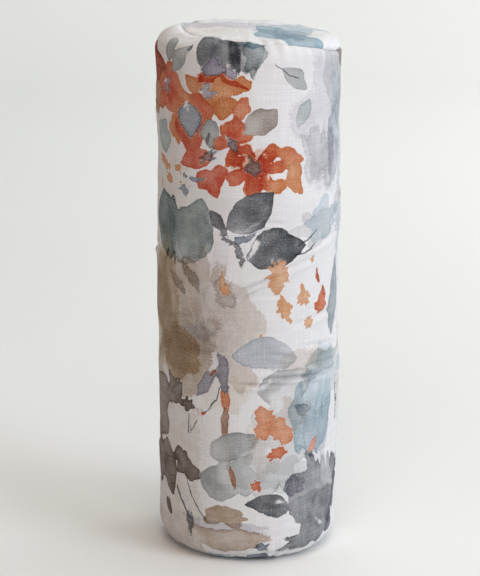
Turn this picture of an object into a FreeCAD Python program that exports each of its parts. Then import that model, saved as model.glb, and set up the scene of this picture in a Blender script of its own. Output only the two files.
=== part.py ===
"""Bolster cushion: a stuffed roll in a removable zipped cover, standing on its lower end.

Row frame: origin at the centre of the lower end, +Z up along the roll, the zip along the +Y side.
From the outside in: a linen cover (side panel and two end discs) with a coil zip in its side seam,
a calico casing, a layer of batting and a foam core. Every size is in millimetres.
"""
import FreeCAD, Part
import math
import os

from FreeCAD import Vector

# Driving dimensions of the roll
LENGTH = 600.0
RADIUS = 104.0
TOP_ROUND = 22.0
BOTTOM_ROUND = 30.0
SEAM_ANGLE = 50.0  # where an end seam sits on the rounding, up from the side wall, in degrees

# Cloths and fillings
LINEN = 0.9
CALICO = 0.6
BATTING = 13.0
FOAM_ROUND = 8.0
PLY_GAP = 0.1  # between two plies of cloth that lie on each other
LAYER_GAP = 0.2  # between one layer of the pad and the next
PAD_GAP = 0.3  # between the cover and the pad
PAD_EXTRA_ROUND = 10.0  # the pad's ends are rounder than the cover's, which leaves room for the seams
ALLOWANCE = 9.0  # cloth turned in beyond an end seam

# Zip, a size 3 coil chain
SLOT_LOW = 80.0
SLOT_HIGH = 530.0
SLOT_HALF = 5.0  # from the middle of the chain to the folded edge of the cover
FLAP_HALF = 17.0  # how far the turned-in edges reach from the middle
TAPE = 0.5
TAPE_HALF = 12.0
TAPE_OVERRUN = 4.0
COIL_HEIGHT = 1.9
COIL_HALF = 2.1
COIL_OPEN_INNER = 1.3  # inner edge of a coil where it parts round the slider's post
COIL_OPEN_OUTER = 3.1
CHAIN_GAP = 0.1
STOP_LENGTH = 3.0
BOTTOM_STOP_LOW = 90.0

# Slider and pull tab; lengths up the slider count from its lower end
SLIDER_LOW = 505.5
SLIDER_LENGTH = 10.5
SLIDER_REAR_HALF = 3.2
SLIDER_FRONT_HALF = 4.2
SLIDER_WALL = 0.8
PLATE = 1.0
SLIDER_GAP = 0.2  # between a plate and the chain or tape
FLARE_LOW = 4.0
FLARE_HIGH = 7.0
BRIDGE_HALF = 1.1
BRIDGE_LEG = 1.0
BRIDGE_LOW = 1.6
BRIDGE_HIGH = 8.8
BRIDGE_OPENING = 2.7
BRIDGE_CROWN = 0.9
PIVOT_UP = 5.2
PIVOT_OUT = 1.1  # from the face of the top plate
TAB_BAR = 0.7
TAB_THICK = 1.2
TAB_ARM_INNER = 1.5
TAB_ARM_OUTER = 2.7
TAB_WINDOW = 4.9
TAB_LENGTH = 24.0

# Sewing thread
THREAD = 0.3
TOPSTITCH_OUT = 9.0  # from the middle of the chain
SLIT = 0.1  # half the gap between the two edges of the side seam

FAR = 200.0  # reaches past the roll on every side

# Radii of the plies at the zip, from the outside in
FLAP_OUTER = RADIUS - LINEN - PLY_GAP
FLAP_INNER = FLAP_OUTER - LINEN
TAPE_OUTER = FLAP_INNER - PLY_GAP
TAPE_INNER = TAPE_OUTER - TAPE
COIL_TOP = TAPE_OUTER + COIL_HEIGHT
TOP_PLATE_IN = COIL_TOP + SLIDER_GAP
TOP_PLATE_OUT = TOP_PLATE_IN + PLATE
BOTTOM_PLATE_OUT = TAPE_INNER - SLIDER_GAP
BOTTOM_PLATE_IN = BOTTOM_PLATE_OUT - PLATE
PAD_FACET = BOTTOM_PLATE_IN - 2 * LAYER_GAP  # the pad is pressed flat behind the zip
PIVOT_Y = TOP_PLATE_OUT + PIVOT_OUT
PIVOT_Z = SLIDER_LOW + PIVOT_UP
SLIDER_HIGH = SLIDER_LOW + SLIDER_LENGTH


def arc_through(centre, radius, low, high):
    """An arc in the XZ plane round (x, z) centre, between two angles in degrees up from +X."""
    points = []
    for angle in (low, (low + high) / 2, high):
        turn = math.radians(angle)
        points.append(Vector(centre[0] + radius * math.cos(turn), 0, centre[1] + radius * math.sin(turn)))
    return Part.Arc(*points).toShape()


def band(centre, outer, inner, low, high):
    """A ring sector of cloth in the XZ plane."""
    outside = arc_through(centre, outer, low, high)
    inside = arc_through(centre, inner, low, high)
    ends = [
        Part.makeLine(outside.Vertexes[0].Point, inside.Vertexes[0].Point),
        Part.makeLine(outside.Vertexes[-1].Point, inside.Vertexes[-1].Point),
    ]
    return Part.Face(Part.Wire(Part.__sortEdges__([outside, ends[1], inside, ends[0]])))


def rectangle(x_low, x_high, z_low, z_high):
    """A flat rectangle in the XZ plane."""
    corners = [(x_low, z_low), (x_high, z_low), (x_high, z_high), (x_low, z_high), (x_low, z_low)]
    return Part.Face(Part.makePolygon([Vector(x, 0, z) for x, z in corners]))


def revolve(faces):
    """The solid of revolution of joined faces round the roll's axis."""
    joined = faces[0].fuse(faces[1:]).removeSplitter() if len(faces) > 1 else faces[0]
    return joined.revolve(Vector(0, 0, 0), Vector(0, 0, 1), 360).Solids[0]


def block(x_low, x_high, y_low, y_high, z_low, z_high):
    """A box between two corners."""
    return Part.makeBox(x_high - x_low, y_high - y_low, z_high - z_low, Vector(x_low, y_low, z_low))


def plate(outline, y_low, y_high, z_offset=0.0):
    """An outline of (x, z) points pushed along Y into a plate."""
    points = [Vector(x, y_low, z + z_offset) for x, z in outline + outline[:1]]
    return Part.Face(Part.makePolygon(points)).extrude(Vector(0, y_high - y_low, 0))


def mirrored(half):
    """A closed outline that is symmetric about x = 0, from its right half, bottom to top."""
    return half + [(-x, z) for x, z in reversed(half)]


def tube(outer, inner, low, high):
    """A plain tube round the roll's axis."""
    length = high - low
    base = Vector(0, 0, low)
    return Part.makeCylinder(outer, length, base).cut(Part.makeCylinder(inner, length, base))


def roll(inset, extra_round=0.0):
    """The whole roll's outline, rounded at both ends, moved in by inset on every side."""
    radius = RADIUS - inset
    low, high = inset, LENGTH - inset
    low_round = BOTTOM_ROUND - inset + extra_round
    high_round = TOP_ROUND - inset + extra_round
    low_arc = arc_through((radius - low_round, low + low_round), low_round, 270, 360)
    high_arc = arc_through((radius - high_round, high - high_round), high_round, 0, 90)
    bottom = Vector(0, 0, low)
    top = Vector(0, 0, high)
    edges = [
        Part.makeLine(bottom, low_arc.Vertexes[0].Point),
        low_arc,
        Part.makeLine(low_arc.Vertexes[-1].Point, high_arc.Vertexes[0].Point),
        high_arc,
        Part.makeLine(high_arc.Vertexes[-1].Point, top),
        Part.makeLine(top, bottom),
    ]
    return revolve([Part.Face(Part.Wire(edges))])


def flattened(shape, facet):
    """The shape pressed flat behind the zip."""
    return shape.cut(block(-FAR, FAR, facet, FAR, -FAR, LENGTH + FAR))


def seam_plies(at_top):
    """The side panel's and the end disc's faces where they meet on one rounded end.

    Both edges turn in at the seam and lie back against the side panel, the disc's edge innermost."""
    rounding = TOP_ROUND if at_top else BOTTOM_ROUND
    centre = (RADIUS - rounding, LENGTH - rounding if at_top else rounding)
    way = 1 if at_top else -1

    def ply(outer, inner, low, high):
        low, high = sorted((way * low, way * high))
        return band(centre, outer, inner, low, high)

    gap = math.degrees(PLY_GAP / 2 / rounding)
    fold = math.degrees(LINEN / rounding)
    turned = SEAM_ANGLE - math.degrees(ALLOWANCE / rounding)
    side_in = rounding - 2 * LINEN - PLY_GAP
    disc_in = side_in - LINEN - PLY_GAP
    side = [
        ply(rounding, rounding - LINEN, 0, SEAM_ANGLE - gap),
        ply(rounding, side_in, SEAM_ANGLE - gap - fold, SEAM_ANGLE - gap),
        ply(side_in + LINEN, side_in, turned, SEAM_ANGLE - gap),
    ]
    disc = [
        ply(rounding, rounding - LINEN, SEAM_ANGLE + gap, 90),
        ply(rounding, disc_in, SEAM_ANGLE + gap, SEAM_ANGLE + gap + fold),
        ply(disc_in + LINEN, disc_in, turned, SEAM_ANGLE + gap + fold),
    ]
    flat = (LENGTH - LINEN, LENGTH) if at_top else (0.0, LINEN)
    disc.append(rectangle(0, RADIUS - rounding, *flat))
    return side, disc


def seam_ring(rounding, height, inset, round_extra=0.0):
    """A ring of thread that follows an end seam, inset from the outline's surface."""
    bend = rounding + round_extra
    turn = math.radians(SEAM_ANGLE)
    reach = bend - inset
    z_way = 1 if height > LENGTH / 2 else -1
    ring_radius = RADIUS - bend + reach * math.cos(turn)
    ring_height = height - z_way * bend + z_way * reach * math.sin(turn)
    return Part.makeTorus(ring_radius, THREAD, Vector(0, 0, ring_height))


def flap(x_low, z_low, z_high):
    """One turned-in edge of the side panel on the +X side, with its fold at x_low."""
    shell = tube(FLAP_OUTER, FLAP_INNER, z_low, z_high)
    fold = tube(RADIUS - LINEN / 2, FLAP_INNER, z_low, z_high)
    return shell.common(block(x_low, FLAP_HALF, 0, FAR, z_low, z_high)).fuse(
        fold.common(block(x_low, x_low + LINEN, 0, FAR, z_low, z_high))
    )


def side_mirror(shape):
    """The same piece on the -X side."""
    return shape.mirror(Vector(0, 0, 0), Vector(1, 0, 0))


def cover():
    """The side panel, wrapped to a tube with its edges turned in at the zip and side seam, and two discs."""
    top_side, top_disc = seam_plies(True)
    bottom_side, bottom_disc = seam_plies(False)
    wall = rectangle(RADIUS - LINEN, RADIUS, BOTTOM_ROUND, LENGTH - TOP_ROUND)
    panel = revolve([wall, *top_side, *bottom_side])
    panel = panel.cut(block(-SLOT_HALF, SLOT_HALF, 0, FAR, SLOT_LOW, SLOT_HIGH))
    panel = panel.cut(block(-SLIT, SLIT, 0, FAR, -FAR, LENGTH + FAR))
    edges = [
        flap(SLIT, BOTTOM_ROUND, SLOT_LOW),
        flap(SLOT_HALF, SLOT_LOW, SLOT_HIGH),
        flap(SLIT, SLOT_HIGH, LENGTH - TOP_ROUND),
    ]
    panel = panel.fuse(edges + [side_mirror(edge) for edge in edges]).removeSplitter()
    return {
        "cover_side_panel": panel,
        "cover_top_disc": revolve(top_disc),
        "cover_bottom_disc": revolve(bottom_disc),
    }


def cover_threads():
    """Threads of the end seams, the side seam above and below the zip, and the zip's topstitching."""
    disc_in = 3 * LINEN + 2 * PLY_GAP
    deep = disc_in + 2 * THREAD
    seam_y = TAPE_OUTER - THREAD
    side_rows = []
    for low, high in ((BOTTOM_ROUND, SLOT_LOW), (SLOT_HIGH, LENGTH - TOP_ROUND)):
        clear_low = low + 2 * TAPE_OVERRUN if low == SLOT_HIGH else low
        clear_high = high - 2 * TAPE_OVERRUN if high == SLOT_LOW else high
        side_rows.append(Part.makeCylinder(THREAD, clear_high - clear_low, Vector(0, seam_y, clear_low)))
    out = math.sqrt(RADIUS**2 - TOPSTITCH_OUT**2) + 2 * THREAD
    stitch_rows = [
        Part.makeCylinder(THREAD, SLOT_HIGH - SLOT_LOW, Vector(x, out, SLOT_LOW))
        for x in (-TOPSTITCH_OUT, TOPSTITCH_OUT)
    ]
    return {
        "top_seam_thread": seam_ring(TOP_ROUND, LENGTH, deep),
        "bottom_seam_thread": seam_ring(BOTTOM_ROUND, 0, deep),
        "side_seam_thread": Part.Compound(side_rows),
        "zip_topstitching": Part.Compound(stitch_rows),
    }


def zip_chain():
    """Two tapes with a coil on each, meshed up to the slider and parted round its post, and three stops."""
    tape_low = SLOT_LOW - TAPE_OVERRUN
    tape_high = SLOT_HIGH + TAPE_OVERRUN
    part_low = SLIDER_LOW + FLARE_LOW
    part_high = SLIDER_LOW + FLARE_HIGH
    shell = tube(TAPE_OUTER, TAPE_INNER, tape_low, tape_high)
    strip = shell.common(block(0, TAPE_HALF, 0, FAR, tape_low, tape_high))
    opening = [(CHAIN_GAP, -FAR), (CHAIN_GAP, part_low), (COIL_OPEN_INNER, part_high)]
    opening += [(COIL_OPEN_INNER, LENGTH)]
    tape = strip.cut(plate(mirrored(opening), 0, FAR))
    coil_low = BOTTOM_STOP_LOW + STOP_LENGTH
    coil_high = SLIDER_HIGH + CHAIN_GAP
    coil_outline = [
        (CHAIN_GAP, coil_low),
        (CHAIN_GAP, part_low),
        (COIL_OPEN_INNER, part_high),
        (COIL_OPEN_INNER, coil_high),
        (COIL_OPEN_OUTER, coil_high),
        (COIL_OPEN_OUTER, part_high + CHAIN_GAP),
        (COIL_HALF, part_low),
        (COIL_HALF, coil_low),
    ]
    coil = plate(coil_outline, TAPE_OUTER, COIL_TOP)
    under_tape = TAPE_INNER - LAYER_GAP
    top_low = SLIDER_HIGH + 2 * CHAIN_GAP
    top_clip = block(1.0, COIL_OPEN_OUTER, under_tape, COIL_TOP, top_low, top_low + STOP_LENGTH)
    bottom_clip = block(-COIL_HALF, COIL_HALF, under_tape, COIL_TOP, BOTTOM_STOP_LOW, coil_low)
    right_stop = top_clip.cut(tape)
    return {
        "zip_tape_right": tape,
        "zip_tape_left": side_mirror(tape),
        "zip_coil_right": coil,
        "zip_coil_left": side_mirror(coil),
        "zip_top_stops": Part.Compound([right_stop, side_mirror(right_stop)]),
        "zip_bottom_stop": bottom_clip.cut(tape).cut(side_mirror(tape)),
    }


def slider_outline(inset, overrun):
    """The slider's outline seen from outside: narrow below, wide above, moved in from its sides."""
    rear = SLIDER_REAR_HALF - inset
    front = SLIDER_FRONT_HALF - inset
    return mirrored([
        (rear, -overrun),
        (rear, FLARE_LOW),
        (front, FLARE_HIGH),
        (front, SLIDER_LENGTH + overrun),
    ])


def zip_slider():
    """The slider's cast body, its bridge and the leaf spring that locks it on the chain."""
    outline = slider_outline(0.0, 0.0)
    flange_low = TAPE_OUTER + SLIDER_GAP
    body = plate(outline, BOTTOM_PLATE_IN, BOTTOM_PLATE_OUT, SLIDER_LOW)
    walls = plate(outline, flange_low, TOP_PLATE_OUT, SLIDER_LOW)
    channel = plate(slider_outline(SLIDER_WALL, 1.0), 0, TOP_PLATE_IN, SLIDER_LOW)
    post = plate(
        mirrored([(0.05, FLARE_LOW + 1.6), (1.0, FLARE_HIGH + 0.4), (1.0, SLIDER_LENGTH - 0.9)]),
        BOTTOM_PLATE_OUT - PLATE / 2,
        TOP_PLATE_IN + PLATE / 2,
        SLIDER_LOW,
    )
    pawl_hole = block(-0.7, 0.7, 0, FAR, SLIDER_LOW + 2.65, SLIDER_LOW + 3.55)
    top_half = walls.cut(channel).cut(pawl_hole)
    body = body.fuse([top_half, post]).removeSplitter()
    edges = [e for e in body.Edges if e.BoundBox.YMin > TOP_PLATE_OUT - 0.01 and e.BoundBox.XLength > 5]
    body = body.makeChamfer(0.3, edges)

    crown_in = TOP_PLATE_OUT + BRIDGE_OPENING
    crown_out = crown_in + BRIDGE_CROWN
    low, high = SLIDER_LOW + BRIDGE_LOW, SLIDER_LOW + BRIDGE_HIGH
    arch = block(-BRIDGE_HALF, BRIDGE_HALF, TOP_PLATE_OUT, crown_out, low, high)
    inside = block(-FAR, FAR, TOP_PLATE_OUT, crown_in, low + BRIDGE_LEG, high - BRIDGE_LEG)
    bridge = arch.cut(inside)
    crown_edges = [
        e for e in bridge.Edges
        if e.BoundBox.YMin > crown_out - 0.01 and e.BoundBox.ZLength < 0.01
    ]
    bridge = bridge.makeFillet(0.8, crown_edges)

    leaf_out = crown_in - 0.1
    leaf_in = leaf_out - 0.3
    leaf_low, leaf_high = low + BRIDGE_LEG + 0.1, high - BRIDGE_LEG - 0.2
    leaf = block(-0.5, 0.5, leaf_in, leaf_out, leaf_low, leaf_high)
    pawl = block(-0.5, 0.5, COIL_TOP + 0.1, leaf_out, leaf_low, leaf_low + 0.5)
    return {
        "slider_body": body.Solids[0],
        "slider_bridge": bridge.Solids[0],
        "slider_lock_spring": leaf.fuse(pawl).removeSplitter().Solids[0],
    }


def pull_tab():
    """The tab: a bar that turns under the bridge, two arms beside it and a tapered grip."""
    bar = Part.makeCylinder(
        TAB_BAR, 2 * TAB_ARM_OUTER, Vector(-TAB_ARM_OUTER, PIVOT_Y, PIVOT_Z), Vector(1, 0, 0)
    )
    y_low, y_high = PIVOT_Y - TAB_THICK / 2, PIVOT_Y + TAB_THICK / 2
    end_half = 2.4
    grip_half = 2.9
    corner = 1.4
    shape = plate(
        mirrored([
            (end_half - corner, -TAB_LENGTH),
            (end_half, -TAB_LENGTH + corner),
            (grip_half, -TAB_WINDOW - 4.0),
            (TAB_ARM_OUTER, -TAB_WINDOW),
            (TAB_ARM_OUTER, 0),
        ]),
        y_low,
        y_high,
        PIVOT_Z,
    )
    window = block(-TAB_ARM_INNER, TAB_ARM_INNER, 0, FAR, PIVOT_Z - TAB_WINDOW, PIVOT_Z - TAB_BAR)
    recess = block(-1.5, 1.5, y_high - 0.25, FAR, PIVOT_Z - TAB_LENGTH + 2.5, PIVOT_Z - TAB_WINDOW - 3.5)
    tab = shape.cut(window).cut(recess)
    above_bar = block(-TAB_ARM_INNER, TAB_ARM_INNER, 0, FAR, PIVOT_Z - TAB_BAR, PIVOT_Z + TAB_BAR)
    tab = tab.cut(above_bar).fuse(bar).removeSplitter()
    return {"pull_tab": tab.Solids[0]}


def pad():
    """The filled pad inside the cover: casing, batting and foam core, pressed flat behind the zip."""
    casing_in = LINEN + PAD_GAP
    batting_in = casing_in + CALICO + LAYER_GAP
    foam_in = batting_in + BATTING
    foam_low, foam_high = foam_in, LENGTH - foam_in
    casing_outer = flattened(roll(casing_in, PAD_EXTRA_ROUND), PAD_FACET)
    casing_inner = flattened(roll(casing_in + CALICO, PAD_EXTRA_ROUND), PAD_FACET - CALICO)
    casing = casing_outer.cut(casing_inner)
    lift = math.sin(math.radians(SEAM_ANGLE))
    seam_low = casing_in + (BOTTOM_ROUND - casing_in + PAD_EXTRA_ROUND) * (1 - lift)
    seam_high = LENGTH - casing_in - (TOP_ROUND - casing_in + PAD_EXTRA_ROUND) * (1 - lift)
    half_gap = PLY_GAP / 2
    batting = flattened(roll(batting_in, PAD_EXTRA_ROUND), PAD_FACET - CALICO - LAYER_GAP)
    foam_radius = RADIUS - foam_in
    foam = Part.makeCylinder(foam_radius, foam_high - foam_low, Vector(0, 0, foam_low))
    foam = foam.makeFillet(FOAM_ROUND, [e for e in foam.Edges if e.BoundBox.ZLength < 0.01])
    wrap = batting.common(block(-FAR, FAR, -FAR, FAR, foam_low, foam_high))
    core_hole = Part.makeCylinder(foam_radius + LAYER_GAP, LENGTH)
    below, above = foam_low - LAYER_GAP, foam_high + LAYER_GAP
    return {
        "casing_side": casing.common(block(-FAR, FAR, -FAR, FAR, seam_low + half_gap, seam_high - half_gap)),
        "casing_top_disc": casing.common(block(-FAR, FAR, -FAR, FAR, seam_high + half_gap, LENGTH)),
        "casing_bottom_disc": casing.common(block(-FAR, FAR, -FAR, FAR, 0, seam_low - half_gap)),
        "casing_seam_thread": Part.Compound([
            seam_ring(TOP_ROUND, LENGTH, casing_in - 2 * THREAD, PAD_EXTRA_ROUND),
            seam_ring(BOTTOM_ROUND, 0, casing_in - 2 * THREAD, PAD_EXTRA_ROUND),
        ]),
        "batting_wrap": wrap.cut(core_hole),
        "batting_top_pad": batting.common(block(-FAR, FAR, -FAR, FAR, above, LENGTH)),
        "batting_bottom_pad": batting.common(block(-FAR, FAR, -FAR, FAR, 0, below)),
        "foam_core": foam,
    }


def main():
    os.makedirs("parts", exist_ok=True)
    nodes = {**cover(), **cover_threads(), **zip_chain(), **zip_slider(), **pull_tab(), **pad()}
    for name, shape in nodes.items():
        if not shape.isValid():
            raise ValueError(f"{name} is not a valid shape")
        shape.exportStep(f"parts/{name}.step")
        print(f"{name}: {len(shape.Solids)} solid(s), {shape.Volume / 1000:.3f} cm3")
    print(f"pull tab pivot at y {PIVOT_Y:.2f}, z {PIVOT_Z:.2f}; slider travel {SLIDER_LOW - BOTTOM_STOP_LOW:.1f}")


main()
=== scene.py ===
"""Looks of the bolster cushion: a stuffed roll in a watercolour-print linen cover, standing on its end.

Lengths in this file are millimetres until a mesh is made. A place on the cloth is (across, up): across runs
round the roll from the middle of the front towards +X, and up is the height on the side wall, carried on
round both rounded edges along the cloth.
"""
import functools
import math

import bpy
import numpy as np
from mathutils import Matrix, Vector


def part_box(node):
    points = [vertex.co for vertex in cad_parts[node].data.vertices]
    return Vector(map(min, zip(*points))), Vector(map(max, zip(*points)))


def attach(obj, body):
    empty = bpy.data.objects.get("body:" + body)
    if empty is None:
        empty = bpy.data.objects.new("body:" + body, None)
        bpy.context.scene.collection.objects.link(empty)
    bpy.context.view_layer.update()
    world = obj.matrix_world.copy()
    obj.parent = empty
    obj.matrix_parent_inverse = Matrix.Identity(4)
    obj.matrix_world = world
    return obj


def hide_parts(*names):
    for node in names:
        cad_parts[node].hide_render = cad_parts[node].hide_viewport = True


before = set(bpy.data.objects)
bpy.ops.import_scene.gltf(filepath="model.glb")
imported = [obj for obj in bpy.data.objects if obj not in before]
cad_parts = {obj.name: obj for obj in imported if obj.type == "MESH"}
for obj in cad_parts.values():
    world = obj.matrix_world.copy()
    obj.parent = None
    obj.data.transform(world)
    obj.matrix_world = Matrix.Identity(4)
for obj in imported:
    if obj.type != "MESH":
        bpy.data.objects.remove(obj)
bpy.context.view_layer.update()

# The roll, as in the CAD model
RADIUS = round(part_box("cover_side_panel")[1].x * 1000)
LENGTH = round(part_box("cover_top_disc")[1].z * 1000)
TOP_ROUND = 22.0
BOTTOM_ROUND = 30.0
GIRTH = 2 * math.pi * RADIUS
BOTTOM_FLAT = RADIUS - BOTTOM_ROUND
TOP_FLAT = RADIUS - TOP_ROUND
BOTTOM_ARC = BOTTOM_ROUND * math.pi / 2
TOP_ARC = TOP_ROUND * math.pi / 2
WALL = LENGTH - BOTTOM_ROUND - TOP_ROUND
BELOW = BOTTOM_FLAT + BOTTOM_ARC - BOTTOM_ROUND  # from the bottom's centre to up = 0, along the cloth
TOP_CENTRE = BOTTOM_ROUND + WALL + TOP_ARC + TOP_FLAT
TOP_TILT = 0.030  # the top sits a little lower on the +X side
TOP_DOME = 4.0

# The pad inside: rounder at its ends than the cover, and flat behind the zip
PAD_EXTRA = 8.2
PAD_FACET = round(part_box("casing_side")[1].y * 10000) / 10 + 1.3
CASING_INSET, FIBRE_INSET = 1.0, 2.2

# The zip's slot
SLOT_LOW = round(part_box("zip_topstitching")[0].z * 1000)
SLOT_HIGH = round(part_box("zip_topstitching")[1].z * 1000)
SLOT_HALF = 5.0

ROWS = 1.6  # spacing of the cover's mesh up the roll
COLUMNS = 2.5  # and round it
TURNED_IN = 4.0  # cloth beyond a seam, inside the cover
# The panel's edge folded under at the zip: how far past the edge, and how far off the roll
HEM = [(0.45, -0.12), (0.62, -0.45), (0.45, -0.85), (-2.0, -1.0), (-10.0, -1.05)]


# ---------------------------------------------------------------- shape of the roll

def smooth(low, high, value):
    """0 below low, 1 above high, and a smooth step between."""
    t = np.clip((value - low) / (high - low), 0, 1)
    return t * t * (3 - 2 * t)


def outline(up):
    """Radius, height and outward direction (radial, upward) of the plain roll at one height."""
    s = np.asarray(up, float) + BELOW
    low = np.clip(s - BOTTOM_FLAT, 0, BOTTOM_ARC) / BOTTOM_ROUND
    wall = np.clip(s - BOTTOM_FLAT - BOTTOM_ARC, 0, WALL)
    high = np.clip(s - BOTTOM_FLAT - BOTTOM_ARC - WALL, 0, TOP_ARC) / TOP_ROUND
    inward = np.clip(s - BOTTOM_FLAT - BOTTOM_ARC - WALL - TOP_ARC, 0, TOP_FLAT)
    radius = np.minimum(s, BOTTOM_FLAT) + BOTTOM_ROUND * np.sin(low)
    radius = radius - TOP_ROUND * (1 - np.cos(high)) - inward
    height = BOTTOM_ROUND * (1 - np.cos(low)) + wall + TOP_ROUND * np.sin(high)
    return radius, height, np.sin(low + high), -np.cos(low + high)


def top_seam(theta):
    """Height along the cloth of the top seam: the cover sits twisted, further over the edge at the left."""
    return BOTTOM_ROUND + WALL + 24 - 18 * np.sin(theta) + 7 * np.cos(theta) + 1.5 * np.sin(3 * theta + 1)


def bottom_seam(theta):
    """Height along the cloth of the bottom seam."""
    return 4 + 7 * np.sin(theta) + 2 * np.cos(theta) + 1.2 * np.sin(3 * theta)


def waves(theta, seed, low, high):
    """A smooth random curve round the roll, of about unit height, with low to high waves per turn."""
    draw = np.random.default_rng(seed)
    count = 14
    total = 0
    for turns, phase in zip(draw.integers(low, high, count), draw.uniform(0, 2 * math.pi, count)):
        total = total + np.cos(turns * theta + phase)
    return total / math.sqrt(count / 2)


def swell(theta, up, seed, length):
    """A smooth random surface of about unit height with features about one length across."""
    draw = np.random.default_rng(seed)
    count = 24
    total = 0
    for _ in range(count):
        heading = draw.uniform(0, math.pi)
        wave = 2 * math.pi / (length * draw.uniform(0.7, 1.6))
        turns = round(wave * math.cos(heading) * RADIUS)
        total = total + np.cos(turns * theta + wave * math.sin(heading) * up + draw.uniform(0, 2 * math.pi))
    return total / math.sqrt(count / 2)


def wrapped(across):
    """A distance round the roll, taken the short way."""
    return (across + GIRTH / 2) % GIRTH - GIRTH / 2


# The larger creases: across, up, lean in degrees, length, width, depth
CREASES = [
    (13, 334, 20, 60, 1.8, 2.0),
    (10, 327, 30, 40, 1.8, 1.4),
    (55, 351, 15, 48, 2.6, 1.2),
    (21, 402, -5, 38, 1.8, 1.3),
    (91, 288, 6, 66, 3.0, 1.0),
    (57, 221, -4, 84, 2.0, 2.4),
    (10, 216, 0, 44, 2.0, 1.8),
    (40, 248, -12, 30, 2.0, 1.1),
    (98, 230, -2, 60, 3.0, 1.1),
    (30, 160, -4, 42, 2.2, 0.9),
    (97, 253, -8, 70, 3.0, 1.0),
    (90, 372, 8, 70, 3.0, 0.9),
    (138, 190, 88, 80, 3.0, 1.5),
    (-60, 300, 70, 90, 4.0, 0.5),
    (-100, 210, 12, 60, 4.0, 0.6),
    (112, 74, 80, 60, 3.0, 1.2),
    (92, 48, 62, 44, 3.0, 1.0),
    (-70, 130, -10, 60, 4.0, 0.5),
    (190, 430, 10, 90, 2.6, 1.2),
    (205, 260, -6, 110, 2.4, 1.4),
    (-190, 350, 8, 100, 2.6, 1.1),
    (-215, 160, -12, 90, 2.6, 1.2),
    (250, 120, 14, 80, 2.4, 1.0),
    (-260, 480, -10, 80, 2.6, 0.9),
]
SMALL_CREASES = 130
BOW = 0.0015  # how much a crease curves


def small_creases():
    """Short shallow creases all round the roll, most of them near level, as a standing roll settles."""
    draw = np.random.default_rng(12)
    made = []
    for _ in range(SMALL_CREASES):
        place = (draw.uniform(-GIRTH / 2, GIRTH / 2), draw.uniform(24, LENGTH - 50))
        lean, length = draw.normal(6, 13), draw.uniform(18, 62)
        made.append((*place, lean, length, draw.uniform(1.6, 3.2), draw.uniform(0.12, 0.42)))
    return made


ALL_CREASES = CREASES + small_creases()


def creases(theta, up):
    """Depth of the folds that a slightly loose cover takes: a valley with a soft ridge along it."""
    total = 0
    for across, height, lean, length, width, depth in ALL_CREASES:
        turn = math.radians(lean)
        x = wrapped(RADIUS * theta - across)
        y = up - height
        along = x * math.cos(turn) + y * math.sin(turn)
        off = y * math.cos(turn) - x * math.sin(turn) + BOW * along**2 * math.copysign(1, depth - 1)
        ridge = 0.75 * np.exp(-(((off + 2.1 * width) / (1.5 * width)) ** 2))
        fold = -np.exp(-((off / width) ** 2)) + ridge
        total = total + depth * fold * np.exp(-((2 * along / length) ** 4))
    return total


def slot_half(up):
    """Half the gap between the side panel's two edges: the zip's slot, closed above and below."""
    above, below = smooth(SLOT_LOW - 4, SLOT_LOW + 3, up), smooth(-SLOT_HIGH - 4, -SLOT_HIGH + 3, -up)
    return 0.1 + (SLOT_HALF - 0.1) * above * below


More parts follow.
